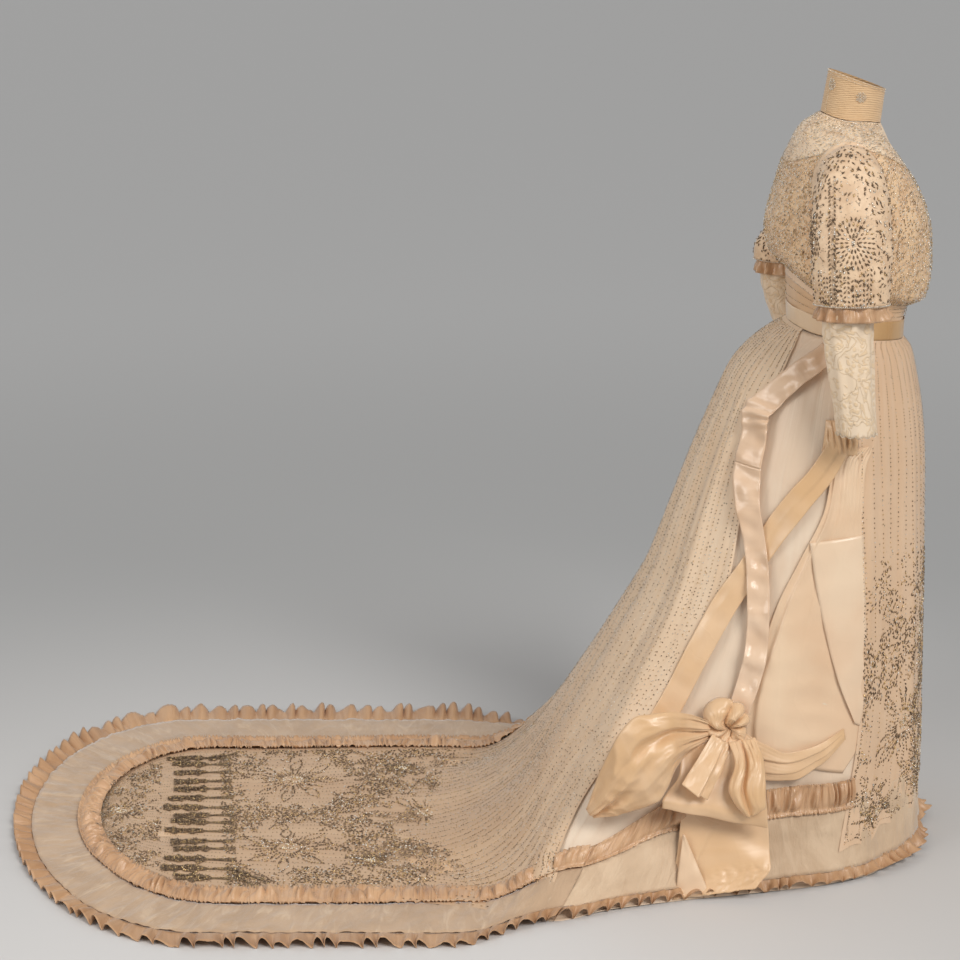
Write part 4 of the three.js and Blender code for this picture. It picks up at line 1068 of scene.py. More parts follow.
# The front panel's side edge and foot, and the back panel's edge, as places on the skirt.
FRONT_U, FRONT_V = find_side(*through(FRONT_EDGE, span(0, 1, 60)).T)
FOOT_U, FOOT_V = find_side(*through(FRONT_FOOT, span(0, 1, 40)).T)
BACK_U, BACK_V = find_side(*through(BACK_EDGE, span(0, 1, 80)).T)


def front_edge_at(row):
    """The front panel's side edge: its share of the half round at a row, between drawn places."""
    return np.interp(row, FRONT_V, FRONT_U)


def back_edge_at(row):
    """The back net's edge: down the side as drawn, then inwards over the start of the train."""
    side = np.interp(np.minimum(row, 9.6), BACK_V, BACK_U)
    return mix(side, TRIM_END + 0.012, np.clip((row - 9.4) / 3.6, 0, 1))


def front_foot_at(share):
    """The row on which the front panel ends, level from its centre to the first known place."""
    order = np.argsort(FOOT_U)
    return np.interp(share, FOOT_U[order], FOOT_V[order])


def front_place(t, s):
    """The front panel: t from -1 to 1 across, s from 0 at the waist to 1 at its foot."""
    t, s = pair(t, s)
    guess = t * front_edge_at(s * 12)
    row = s * front_foot_at(np.abs(guess))
    return t * front_edge_at(row), row


def front_out(w, row):
    """How far the front panel lies off the skirt: a lift that grows below the waist, and soft
    folds that fade in there."""
    return 3.4 * ramp(row, -0.6, 1.4) + skirt_soft(w, row, 31, 1.6) * ramp(row, -0.4, 0.8)


def back_out(w, row):
    """Streaky gathers that hold from the waist to where the net lies down on the train."""
    narrow = pleats(w * 21 + 0.5 * drift(w * 60, row * 0.5, 33, 9), 1.1)
    held = ramp(row, 0.2, 2.0) * (1 - ramp(row, 9.5, 12.6))
    held = held * (0.6 + 0.4 * drift(w * 100, row, 34, 12))
    soft = skirt_soft(w, row, 32, 2.2) * ramp(row, -0.4, 0.8)
    return 3.6 * ramp(row, -0.6, 1.4) + soft + 3.2 * held * narrow


def back_place(t, s):
    """The back panel: t from 0 to 1 from the wearer's right edge round to the left one."""
    t, s = pair(t, s)
    row = s * HEM_ROW
    edge = back_edge_at(row)
    return mix(edge, 2 - edge, t), row


def make_overskirt():
    """The beaded net panels before and behind."""
    t, s = grid_of(span(-1, 1, 150), span(0, 1, 90))
    w, row = front_place(t, s)
    cloth("front_panel_net", SKIRT.at(w, row, front_out(w, row)), "front_net",
          ["overskirt_front"], wall=0)

    t, s = grid_of(span(0, 1, 240), span(0, 1, 104))
    w, row = back_place(t, s)
    cloth("back_panel_net", SKIRT.at(w, row, back_out(w, row)), "back_net",
          ["overskirt_back"], wall=0)


# ---- train ---------------------------------------------------------------------------------
def ground(x, y):
    """How the train's satin lies on the floor, in a few low long swells."""
    edge = np.clip((560 - np.abs(x)) / 120, 0, 1)
    swell = drift(x, y * 0.6, 41, 260) + 0.5 * drift(x, y * 0.3, 42, 120)
    return 0.6 + edge * (2.2 + 1.6 * swell) * ramp(y, 640, 760)


def train_height(x, y):
    """The height of the train's net at a place in plan."""
    return ground(x, y) + mix(3.8, 1.8, ramp(y, TRIM_JOIN, 1100))


def trim_line(size, row):
    """A seam of the train's trimmings from the skirt's right side round the tail to its left:
    from the place where it leaves the skirt, along a straight side, round a half oval that
    leans with x, and back. The first stretch eases from the skirt down on to the floor."""
    half, begin, tail = size
    start = SKIRT.at(TRIM_END - 0.004, row, 0.4)

    def side(sign):
        x, end = sign * half, begin + TRAIN_SKEW * sign * half
        q = span(0, 1, 30)[:-1]
        ease = ramp(q, 0, 1)
        near = np.stack([
            mix(-sign * start[0], x, ease), mix(start[1], TRIM_JOIN, q),
            mix(start[2], 0, ramp(q, 0, 0.8)),
        ], -1)
        y = span(TRIM_JOIN, end, 61)[:-1]
        return np.concatenate([near, np.stack([np.full(60, x), y, np.zeros(60)], -1)])
    a = np.pi * span(0, 1, 241)
    x = -half * np.cos(a)
    tail_end = np.stack([x, begin + (tail - begin) * np.sin(a) + TRAIN_SKEW * x, 0 * a], -1)
    line = np.concatenate([side(-1), tail_end, side(1)[::-1]])
    line[:, 2] += ground(line[:, 0], line[:, 1])
    return line


TRIM_JOIN = 745.0
TRIM_ROWS = (*[float(r) for r in ruche_rows(TRIM_END)], 11.95, FRILL_ROW)
TRIM_LINES = [
    trim_line(TRAIN_EDGE[name], row)
    for name, row in zip(("net", "ruche", "band", "frill"), TRIM_ROWS)
]
TRIM_ALONG = running(np.linalg.norm(np.diff(TRIM_LINES[2], axis=0), axis=1))
TRIM_LENGTH = TRIM_ALONG[-1]


def on_line(k, along):
    """A place on one of the four seams, by the length along the third."""
    along = np.clip(along, 0, TRIM_LENGTH)
    return np.stack([np.interp(along, TRIM_ALONG, TRIM_LINES[k][:, c]) for c in range(3)], -1)


def trim_form(k):
    """The strip between two neighbouring seams."""
    def form(along, v):
        along, v = pair(along, v)
        return mix(on_line(k, along), on_line(k + 1, along), v[..., None])
    return Surface(form, (6.0, 0.05))


def across_train(k, spread, rows, columns, first, lift):
    """A panel of the train in cross rows between the two halves of a seam; first is where
    along the seam it begins."""
    along = span(first, TRIM_LENGTH / 2, rows)
    right, left = on_line(k, along), on_line(k, TRIM_LENGTH - along)
    f = mix(-spread, 1 + spread, span(0, 1, columns))[None, :, None]
    flat = mix(right[:, None], left[:, None], f)
    flat[..., 2] = ground(flat[..., 0], flat[..., 1]) + lift
    return flat[:, ::-1]


def make_train():
    """Satin ground, beaded net, ruche, tulle band and frill. Gives back the grid of the net."""
    satin = across_train(2, 0.004, 70, 50, TRIM_ALONG[20], -0.8)
    cloth("train_satin_ground", above_floor(satin, 0.7), "apricot_satin",
          ["train_satin"], wall=0.6)

    rows, columns = 90, 90
    t = span(0, 1, columns)
    w, row = back_place(t, np.full(columns, 1.0))
    landing = SKIRT.at(w, row, back_out(w, row))
    along = span(TRIM_ALONG[31], TRIM_LENGTH / 2, rows)
    right, left = on_line(0, along) + [-8, 0, 0], on_line(0, TRIM_LENGTH - along) + [8, 0, 0]
    flat = mix(right[:, None], left[:, None], t[None, :, None])
    decay = ((1 - np.clip((along - along[0]) / 420, 0, 1)) ** 1.6)[:, None]
    flat[..., :2] += (landing - flat[0])[None, :, :2] * decay[..., None]
    flat[..., 2] = train_height(flat[..., 0], flat[..., 1])
    flat[..., 2] += (landing - flat[0])[None, :, 2] * decay ** 3
    # the back net's tones darken here by Y: painted shade for the net lying flat on the floor
    cloth("train_panel_net", flat, "back_net", ["train_net"],
          wall=0)

    a, v = grid_of(span(0, TRIM_LENGTH, 460), span(-0.04, 1.02, 12))
    folds = 2.0 * np.abs(drift(a, v * 24, 51, 15)) + 2.0 * (0.5 + 0.5 * drift(a, v * 90, 52, 60))
    folds = 1.7 + folds * ramp(np.minimum(a, TRIM_LENGTH - a), 10, 90)
    # its tulle is the darker copy of the skirt band's, painted shade for the band lying flat
    cloth("train_band_tulle", trim_form(1).at(a, v, folds), "flat_shaded_tulle", ["train_band"])

    a, v = grid_of(span(0, TRIM_LENGTH, 1050), span(-0.03, 1.03, 12))
    puff = 2.0 + ruched(a, v, 61, 23.0, 17.0)
    cloth("train_ruche_satin", trim_form(0).at(a, v, puff), "ruche_satin",
          ["train_ruche"])

    a, v = grid_of(span(0, TRIM_LENGTH, 1100), span(0, 1, 8))
    out, shift = ruffle(a, v, 71, 33.0, 18.0)
    points = above_floor(trim_form(2).at(a + shift, v * 1.02 - 0.02, 1.2 + out))
    cloth("train_frill_satin", points, "frill_satin", ["train_frill"])
    return flat


# ---- drape and ribbons ---------------------------------------------------------------------
def side_grid(left, right, columns, rows, out):
    """A piece over the wearer's right side between two lines of the side view."""
    s = span(0, 1, rows)
    a, b = through(left, s), through(right, s)
    f = span(0, 1, columns)[None, :, None]
    flat = mix(a[:, None], b[:, None], f)
    ff, ss = grid_of(span(0, 1, columns), s)
    return on_side(flat[..., 0], flat[..., 1], out(ff, ss))


def strip_on_side(line, widths, columns, rows, out):
    """A ribbon along a line of the side view; widths are spread evenly along it."""
    s = span(0, 1, rows)
    middle = through(line, s)
    slope = np.gradient(middle, axis=0)
    window = np.ones(15) / 15
    slope = [np.convolve(np.pad(slope[:, k], 7, "edge"), window, "valid") for k in (0, 1)]
    along = unit(np.stack(slope, -1))
    across = np.stack([-along[:, 1], along[:, 0]], -1)
    width = smooth(span(0, 1, len(widths)), np.array(widths, float), s)[:, None, None]
    f = (span(0, 1, columns) - 0.5)[None, :, None] * width
    flat = middle[:, None] - across[:, None] * f
    ff, ss = grid_of(span(0, 1, columns), s)
    return on_side(flat[..., 0], flat[..., 1], out(ff, ss))


def knife(x, low, high):
    """A fold with a slow rise from low to high and a sharp drop after it."""
    t = (x - low) / (high - low)
    return np.where(t < 1, np.clip(t, 0, 1) ** 1.5, np.clip(1 - (t - 1) * 7, 0, 1))


def drape_out(f, s):
    """The taffeta fan: flat pressed folds that spread from its gathered head, the front one
    the widest, bent a little as they go, and small puckers at the head."""
    bend = 0.05 * np.sin(3.2 * s + 1) * s
    folds = knife(f + bend, 0.02, 0.40) * (1 - ramp(s, 0.3, 0.7))
    folds = folds + 1.6 * knife(f + bend, 0.42, 0.66) * (1 - ramp(s, 0.5, 0.9))
    folds = folds + 6.0 * knife(f + 0.5 * bend, 0.66, 0.90) + 2.5 * knife(f, 0.9, 1.05)
    small = pleats(f * 9 + 1.2 * s, 1.0) * np.exp(-s * 7)
    dents = 2.4 * drift(f * 200, s * 560, 82, 170) - 1.4 * np.abs(drift(f * 150, s * 480, 84, 75))
    dents = dents * ramp(f, 0.05, 0.4)
    lift = 1.6 + 1.6 * ramp(f, 0, 0.12)
    folds = folds * (0.3 + 0.7 * ramp(s, 0, 0.35))
    return lift + folds + 2.6 * small + dents * np.sin(np.pi * f) ** 0.4


def make_drape():
    """The taffeta drape with its gathered head and pale facing, and the two ribbons."""
    drape = side_grid(DRAPE_FRONT, DRAPE_BACK, 76, 74, drape_out)
    cloth("side_drape_taffeta", drape, "drape_taffeta", ["side_drape"])

    def facing_out(f, s):
        crown = 0.8 * np.sin(np.pi * f) ** 0.5
        return 6.8 - 4.0 * f + crown + 0.8 * drift(f * 40, s * 340, 85, 75)
    points = side_grid(FACING_FRONT, FACING_BACK, 16, 60, facing_out)
    cloth("drape_facing_satin", points, "pale_ribbon", [])

    u, v = grid_of(span(0.425, 0.53, 56), span(2.85, 3.6, 36))      # shares and rows of the head
    across, down = np.sin(np.pi * (u - 0.425) / 0.105), np.sin(np.pi * (v - 2.85) / 0.75)
    dome = np.clip(across * down, 0, 1)
    fan = pleats((u - 0.46) * 62 + 2.2 * (v - 3.2), 0.9) + 0.5 * drift(u * 900, v * 45, 81, 13)
    head = 2.5 + 11 * dome ** 0.6 + 5.5 * fan * dome ** 0.5
    cloth("drape_head_taffeta", SKIRT.at(u, v, head), "taffeta", ["drape_head"])

    def long_out(f, s):
        turn = np.exp(-((s - 0.235) / 0.035) ** 2) * (0.5 + 0.5 * np.cos(230 * s + 5 * f))
        waves = 4.2 * drift(f * 12, s * 640, 91, 95) + 1.5 * drift(f * 40, s * 640, 94, 34)
        edges = 2.2 * (2 * f - 1) ** 2
        return 15.0 + waves + edges + 7.5 * turn + 2.5 * np.sin(np.pi * f) * np.sin(60 * s)
    points = strip_on_side(LONG_RIBBON, LONG_WIDTHS, 14, 208, long_out)
    for name, part in (("upper", points[:UPPER_END]), ("long", points[UPPER_END - 1:])):
        cloth(f"ribbon_{name}_satin", part, "white_ribbon", [f"ribbon_{name}"])

    def cross_out(f, s):
        fold = 4.0 * knife(f + 0.25 * s, 0.05, 0.55) * np.exp(-s / 0.35)
        waves = 2.6 * drift(f * 30, s * 560, 93, 130) + 0.7 * drift(f * 60, s * 560, 95, 40)
        return 7.0 + fold + waves + 1.6 * (2 * f - 1) ** 2
    points = strip_on_side(CROSS_RIBBON, CROSS_WIDTHS, 18, 120, cross_out)
    cloth("ribbon_cross_taffeta", points, "taffeta", ["ribbon_cross"])


# ---- bow -----------------------------------------------------------------------------------
def bow_points(rows, columns, steps, crown, crease):
    """A bow piece: smooth rows between a left and a right edge in the side view, standing out
    to the wearer's right by out, crowned across its width, with creases from the knot."""
    s, f = span(0, 1, steps), span(0, 1, columns)
    length = np.linalg.norm(np.diff(rows[:, [0, 1, 4]], axis=0), axis=1)
    knots = running(np.maximum(length, 8))
    values = smooth(knots / knots[-1], rows, s)
    left_y, left_z, right_y, right_z, out = (values[:, k][:, None] for k in range(5))
    ff, ss = grid_of(f, s)
    stand = out + crown * np.sin(np.pi * ff) ** 0.8 + crease(ff, ss)
    return np.stack([-stand, mix(left_y, right_y, ff), mix(left_z, right_z, ff)], -1)


def bump_at(f, s, f0, s0, wide, tall):
    """A smooth swelling round a place of a piece."""
    return np.exp(-((f - f0) / wide) ** 2 - ((s - s0) / tall) ** 2)


def pinched(f, s, count, seed, deep, fade):
    """Creases that fan from the knot: uneven sharp-edged ridges across f that die out."""
    bend = 0.35 * drift(f * 8, s * 10, seed, 8)
    ridge = pleats(f * count + bend + 0.35 * s, 0.9) - 0.5
    fine = pleats(f * count * 2.7 - bend + 0.8 * s, 1.0) - 0.5
    return deep * (ridge + 0.35 * fine) * np.exp(-s / fade) * np.minimum(1, 0.35 + s * 9)


def large_loop(f, s):
    """The big loop. s runs from the knot over the outer face to the far end and back behind:
    pinches at the knot, a deep hollow under the upper edge, a broad belly and two long soft
    ridges that lean down it."""
    face = np.where(s < 0.62, s / 0.62, (1 - s) / 0.38)
    front = np.where(s < 0.62, 1.0, -1.0)
    belly = 17 * np.sin(np.pi * f) ** 0.8 * np.sin(np.pi * np.clip(face, 0, 1)) ** 0.7
    hollow = -19 * bump_at(f, face, 0.40 - 0.1 * face, 0.28, 0.12, 0.16)
    lobe = 11 * bump_at(f, face, 0.2, 0.34, 0.14, 0.2) + 9 * bump_at(f, face, 0.66, 0.36, 0.13, 0.2)
    bar = 8 * np.exp(-((f - 0.25 - 0.45 * face) / 0.07) ** 2)
    bar = bar * ramp(face, 0.3, 0.5) * (1 - ramp(face, 0.7, 0.98))
    dent = -8 * np.exp(-((f - 0.48 - 0.3 * face) / 0.09) ** 2)
    dent = dent * ramp(face, 0.3, 0.6) * (1 - ramp(face, 0.8, 1))
    soft = 3.0 * drift(f * 150, face * 260, 101, 62)
    soft = soft - 2.6 * np.abs(drift(f * 150, face * 230, 103, 40))
    outer = np.where(front > 0, belly + hollow + lobe + bar + dent, 0)
    return front * (pinched(f, face, 3.6, 102, 15, 0.26) + outer) + soft * np.clip(3 * face, 0, 1)


def box_loop(f, s):
    """The folded loop below the knot: pinched above, flat and crisp below."""
    swell = 2.6 * drift(f * 180, s * 170, 122, 90)
    return pinched(f, s, 3.1, 121, 13, 0.3) + swell + 4 * bump_at(f, s, 0.25, 0.55, 0.1, 0.2)


def narrow_fall(f, s):
    """A short end folded lengthwise, so that one ridge runs down it."""
    ridge = 15 * knife(f, 0.0, 0.62) * (0.5 + 0.5 * s)
    return ridge + pinched(f, s, 2.6, 123, 8, 0.5) + 1.5 * drift(f * 60, s * 90, 124, 50)


def wide_fall(f, s):
    """The fold in front of the loop: two rounded flutes that close at a point."""
    first = 15 * np.sin(np.pi * np.clip(f / 0.42, 0, 1)) ** 0.7
    second = 12 * np.sin(np.pi * np.clip((f - 0.45) / 0.55, 0, 1)) ** 0.7
    valley = -13 * np.exp(-((f - 0.44 + 0.1 * s) / 0.05) ** 2)
    flutes = (first + second + valley) * np.sin(np.pi * np.clip(s * 0.8 + 0.12, 0, 1))
    return flutes + pinched(f, s, 4.6, 125, 9, 0.35)


def swag_folds(f, s):
    """Folds drawn from the knot along the drape's foot: a broad one above a narrow one, each
    with a sharp back, fading into the drape."""
    line = f + 0.2 * np.sin(2.2 * s) - 0.06 * s
    folds = 1.25 * knife(line, 0.0, 0.46) + 0.7 * knife(line, 0.52, 0.84)
    fine = 0.25 * pleats(f * 9 - 1.5 * s, 0.9) * np.exp(-s / 0.25)
    drawn = 6.5 * (folds + fine) * (1 - s) ** 0.8 * np.minimum(1, 0.35 + 5 * s)
    return drawn + 1.8 * drift(f * 80, s * 210, 127, 60)


def tail_folds(f, s):
    """The tail: flat above, a turned corner on the left, crushed where it meets the floor."""
    crush = ramp(s, 0.62, 0.95) * ramp(f, 0.2, 0.6)
    coarse, fine = (np.abs(drift(f * 170, s * 190, *kind)) for kind in ((130, 34), (132, 15)))
    crumple = coarse + 0.5 * fine
    return (2.4 * drift(f * 160, s * 200, 129, 110) + 2.6 * crush * crumple
            + 4 * knife(f + 0.35 * s, 0.1, 0.42) * ramp(s, 0.05, 0.4))


def make_knot():
    """The knot: a rosette of petals cut apart by deep folds that meet off its middle. Each
    petal is a cushion in the turn and in the share of the radius, finely creased inwards."""
    turns, rise = grid_of(closed_turns(168), span(0.03, 1.16, 44))
    twist = turns + 0.75 * (1 - rise) + 0.35 * np.sin(2 * turns + 1)
    petal = pleats(3.0 * twist / np.pi, 0.55)
    inner = np.clip(rise, 0, 1)
    rim = np.where(rise > 1, 1 - 1.4 * (rise - 1), 1.0)
    size = KNOT["radius"] * inner * rim * (0.83 + 0.2 * petal + 0.06 * np.sin(turns + 0.6))
    dome = np.sqrt(np.clip(1 - inner ** 3.2, 0, 1))
    dome = dome * (0.25 + 0.75 * np.clip(inner / 0.45, 0, 1) ** 0.8)
    fine = pleats(15 * twist / np.pi + 0.8 * drift(turns * 8, inner * 12, 112, 9), 0.9)
    fine = fine * (1 - inner) * np.clip(inner * 5, 0, 1)
    swell = 2.2 * drift(turns * 26, inner * 30, 111, 22) * inner
    lift = KNOT["depth"] * dome * (0.42 + 0.72 * petal) + 4.5 * fine + swell
    lift = lift - 34 * np.clip(rise - 1, 0, 1) - 2
    y = KNOT["y"] - 5 * (1 - inner) + size * np.cos(turns)
    z = KNOT["z"] - 7 * (1 - inner) + size * np.sin(turns) * 1.05
    points = np.stack([-KNOT["out"] - lift, y, z], -1)
    cloth("bow_knot_taffeta", points[::-1], "taffeta", ["bow_knot"],
          around=True, wall=0)


def make_bow():
    """The big bow: knot, puffed loop, folded loop, two falls, swag and tail."""
    make_knot()
    pieces = [
        ("bow_loop_large", LARGE_LOOP, 46, 130, 2, large_loop),
        ("bow_loop_folded", FOLDED_LOOP, 44, 66, 2, box_loop),
        ("bow_fall_narrow", NARROW_FALL, 26, 46, 1, narrow_fall),
        ("bow_fall_wide", WIDE_FALL, 44, 56, 0, wide_fall),
        ("bow_swag", SWAG, 48, 66, 1, swag_folds),
        ("bow_tail", TAIL, 54, 76, 2, tail_folds),
    ]
    for name, rows, columns, steps, crown, crease in pieces:
        points = bow_points(rows, columns, steps, crown, crease)
        cloth(f"{name}_taffeta", points[:, ::-1], "taffeta", [name])

    f, s = grid_of(span(0, 1, 14), span(0, 1, 30))
    corner = mix(*TAIL_CORNER, s[..., None])
    far = mix(*TAIL_FOLD, s[..., None] ** 0.8)
    points = mix(corner, far, f[..., None])
    points[..., 0] -= 4 + 3 * np.sin(np.pi * f) + 1.5 * drift(f * 40, s * 120, 131, 40)
    cloth("bow_tail_facing", points, "drape_taffeta", [])


# ---- beads ---------------------------------------------------------------------------------
def spindles(name, starts, ends, radius, lift, finish, normals=None):
    """Beads as spindles of three sides, pointed at their starts and ends, flat below."""
    starts, ends = np.asarray(starts, float), np.asarray(ends, float)
    count = len(starts)
    if not count:
        return None
    along = unit(ends - starts)
    up = np.tile([0.0, 0.0, 1.0], (count, 1)) if normals is None else unit(normals)
    side = np.cross(along, up)
    lying = np.linalg.norm(side, axis=1) < 1e-3
    side[lying] = [1, 0, 0]
    side = unit(side)
    up = np.cross(side, along)
    radius = np.broadcast_to(np.asarray(radius, float), count)[:, None]
    middle = (starts + ends) / 2 + up * lift
    half = (ends - starts) / 2
    corners = np.stack([
        middle - half, middle + half,
        middle + side * radius, middle + up * radius, middle - side * radius,
    ], 1)
    pattern = np.array([[0, 3, 2], [0, 4, 3], [0, 2, 4], [1, 2, 3], [1, 3, 4], [1, 4, 2]])
    faces = (np.arange(count)[:, None, None] * 5 + pattern[None]).reshape(-1, 3)
    thing = make_mesh(name, corners.reshape(-1, 3), faces, None, True)
    return place_piece(thing, finish)


def shared_out(name, starts, ends, normals, radius, lift, parts, seed):
    """Deals beads out by chance among finishes; parts lists finish, share and size."""
    rng = np.random.default_rng(seed)
    draw = rng.uniform(size=len(starts))
    low = 0.0
    for finish, share, size in parts:
        pick = (draw >= low) & (draw < low + share)
        low += share
        wide = np.broadcast_to(radius, draw.shape)[pick]
        up = None if normals is None else normals[pick]
        spindles(f"{name}_{finish}", starts[pick], ends[pick], wide * size, lift, finish, up)


def shares(dark, gold, silver, silver_size=1.0):
    """Parts of dark, gold and silver beads, for shared_out."""
    return [
        ("dark_bead", dark, 1.0), ("gold_bead", gold, 1.0), ("silver_bead", silver, silver_size),
    ]


def on_surface(surface, u1, v1, u2, v2, out):
    """Starts, ends and normals of beads given by places on a surface."""
    start, end = surface.at(u1, v1, out), surface.at(u2, v2, out)
    return start, end, surface.normal((u1 + u2) / 2, (v1 + v2) / 2)


def stitches(line, pitch, length, slant, both, rng):
    """Bead strokes along a line of points, one pitch apart and turned from it by slant; both
    sets them in pairs to either side, as on a feather. Rows of x1, y1, x2, y2."""
    line = np.asarray(line, float)
    way = running(np.linalg.norm(np.diff(line, axis=0), axis=1))
    at = np.arange(pitch * 0.5, way[-1], pitch)
    x, y = (np.interp(at, way, line[:, k]) for k in (0, 1))
    dx, dy = (np.interp(at, way, np.gradient(line[:, k])) for k in (0, 1))
    angle = np.arctan2(dy, dx)
    rows = []
    for side in ((-1, 1) if both else (1,)):
        turn = angle + side * slant + rng.normal(0, 0.12, len(at))
        reach = length * rng.uniform(0.85, 1.1, len(at))
        c, d = np.cos(turn) * reach, np.sin(turn) * reach
        off = 0.8 * side * both
        rows.append(np.stack([x - off * np.sin(angle), y + off * np.cos(angle),
                              x - off * np.sin(angle) + c, y + off * np.cos(angle) + d], -1))
    return np.concatenate(rows)


def petal(foot, angle, length, width, bend):
    """The two bowed sides of a petal or leaf, half width as the sine of the way along; bend
    curves it sideways as the square of the way."""
    q = np.linspace(0, 1, 24)
    sides = []
    for side in (-1, 1):
        off = side * width * np.sin(np.pi * q ** 0.85) + bend * q * q
        x = foot[0] + length * q * math.cos(angle) - off * math.sin(angle)
        y = foot[1] + length * q * math.sin(angle) + off * math.cos(angle)
        sides.append(np.stack([x, y], -1))
    return sides


def blossom(x, y, size, rng):
    """A flower head: rays of close strokes, and two rounds of petals outlined in strokes."""
    rows = []
    for k in range(34):
        angle = 2 * np.pi * (k + 0.35 * rng.uniform(-1, 1)) / 34
        reach = size * rng.uniform(0.5, 0.95)
        line = [(x + r * math.cos(angle), y + r * math.sin(angle)) for r in (0.24 * size, reach)]
        rows.append(stitches(line, 7.2, 7.0, 0.12, False, rng))
    for k in range(8):
        angle = 2 * np.pi * (k + 0.3 * rng.uniform(-1, 1)) / 8
        foot = (x + 0.6 * size * math.cos(angle), y + 0.6 * size * math.sin(angle))
        reach, bend = size * rng.uniform(0.55, 0.8), size * rng.uniform(-0.15, 0.15)
        for line in petal(foot, angle, reach, size * 0.13, bend):
            rows.append(stitches(line, 6.4, 6.0, 0.75, False, rng))
    return rows


def branch(x, y, angle, length, rng):
    """A bent stem of feathered strokes with outlined leaves to either side and one at its tip."""
    q = np.linspace(0, 1, 20)
    bend = rng.uniform(-0.9, 0.9)
    turn = angle + bend * q
    px = x + np.cumsum(np.cos(turn)) * length / 20
    py = y + np.cumsum(np.sin(turn)) * length / 20
    rows = [stitches(np.stack([px, py], -1), 8.4, 6.2, 0.7, True, rng)]
    side = 1 if rng.uniform() < 0.5 else -1
    for k in (5, 11, 17):
        reach = length * rng.uniform(0.34, 0.5)
        side = -side
        leaf = turn[k] + side * rng.uniform(0.6, 1.0)
        for line in petal((px[k], py[k]), leaf, reach, reach * 0.2, side * reach * 0.12):
            rows.append(stitches(line, 6.6, 5.8, 0.7, False, rng))
    for line in petal((px[-1], py[-1]), turn[-1], length * 0.4, length * 0.09, 0.0):
        rows.append(stitches(line, 6.6, 5.8, 0.7, False, rng))
    return rows


def scatter(box, gap, rng, tries=30000):
    """Points in a box at least a gap apart, tried at random."""
    chosen = []
    cells = {}
    (x0, y0), (x1, y1) = box
    for x, y in zip(rng.uniform(x0, x1, tries), rng.uniform(y0, y1, tries)):
        key = (int(x // gap), int(y // gap))
        near = [cells.get((key[0] + a, key[1] + b)) for a in (-1, 0, 1) for b in (-1, 0, 1)]
        if all(p is None or math.hypot(p[0] - x, p[1] - y) >= gap for p in near):
            cells[key] = (x, y)
            chosen.append((x, y))
    return np.array(chosen)


def garden(heads, box, gap, lengths_of, toward, seed):
    """A worked field: flower heads with branches that leave them, and loose branches that fill
    the rest of the box, mostly lying along one direction."""
    rng = np.random.default_rng(seed)
    rows = []
    for x, y, size in heads:
        rows += blossom(x, y, size, rng)
    for x, y in scatter(box, gap, rng):
        near = [(math.hypot(x - a, y - b) / size, a, b) for a, b, size in heads]
        far, a, b = min(near)
        if far < 1.12:
            continue
        angle = toward + rng.normal(0, 0.6) + (np.pi if rng.uniform() < 0.5 else 0)
        if far < 1.9:
            angle = math.atan2(y - b, x - a) + rng.normal(0, 0.35)
        rows += branch(x, y, angle, rng.uniform(*lengths_of), rng)
    rows = np.concatenate(rows)
    middle = (rows[:, :2] + rows[:, 2:]) / 2
    cell = np.floor(middle / 5.0).astype(int)
    clear = np.zeros(len(rows), bool)
    clear[np.unique(cell, axis=0, return_index=True)[1]] = True
    for x, y, size in heads:
        far = np.hypot(middle[:, 0] - x, middle[:, 1] - y)
        clear = (clear | (far < size)) & (far > 0.19 * size)
    return rows[clear]


def pearls_at(centres, half, seed):
    """Clusters of beads at flower centres, as rows of starts and ends half each way in y."""
    rng = np.random.default_rng(seed)
    points = []
    for x, y, reach in centres:
        for _ in range(34):
            angle, far = rng.uniform(0, 2 * np.pi), reach * math.sqrt(rng.uniform())
            points.append((x + far * math.cos(angle), y + far * math.sin(angle)))
    return upright(np.array(points), half)


def upright(points, half):
    """Rows of starts and ends half to either side of points, along y."""
    return np.concatenate([points - [0, half], points + [0, half]], 1)


# Flower heads: x, y and size.
TRAIN_HEADS = [
    (168, 1075, 82), (-160, 1060, 76), (5, 800, 70), (25, 1408, 56), (-225, 900, 40),
    (232, 850, 40),
]


def in_train(x, y, margin):
    """Whether a point lies on the train's net, a margin inside its edge."""
    half, begin, tail = TRAIN_EDGE["net"]
    half, tail = half - margin, tail - margin
    yy = y - TRAIN_SKEW * x
    side = np.abs(x) < half
    round_part = (x / half) ** 2 + ((yy - begin) / (tail - begin)) ** 2 < 1
    return side & ((yy < begin) | round_part) & (y > 700)


def on_net(grid, t, s):
    """Points on a grid of the train's net at shares of its columns and rows."""
    rows, columns = grid.shape[:2]
    i, j = np.clip(s, 0, 0.9999) * (rows - 1), np.clip(t, 0, 0.9999) * (columns - 1)
    i0, j0 = i.astype(int), j.astype(int)
    fi, fj = (i - i0)[..., None], (j - j0)[..., None]
    above, below = (mix(grid[k, j0], grid[k, j0 + 1], fj) for k in (i0, i0 + 1))
    return mix(above, below, fi)


STRANDS = 44            # lines of beads that run down the back net and the train


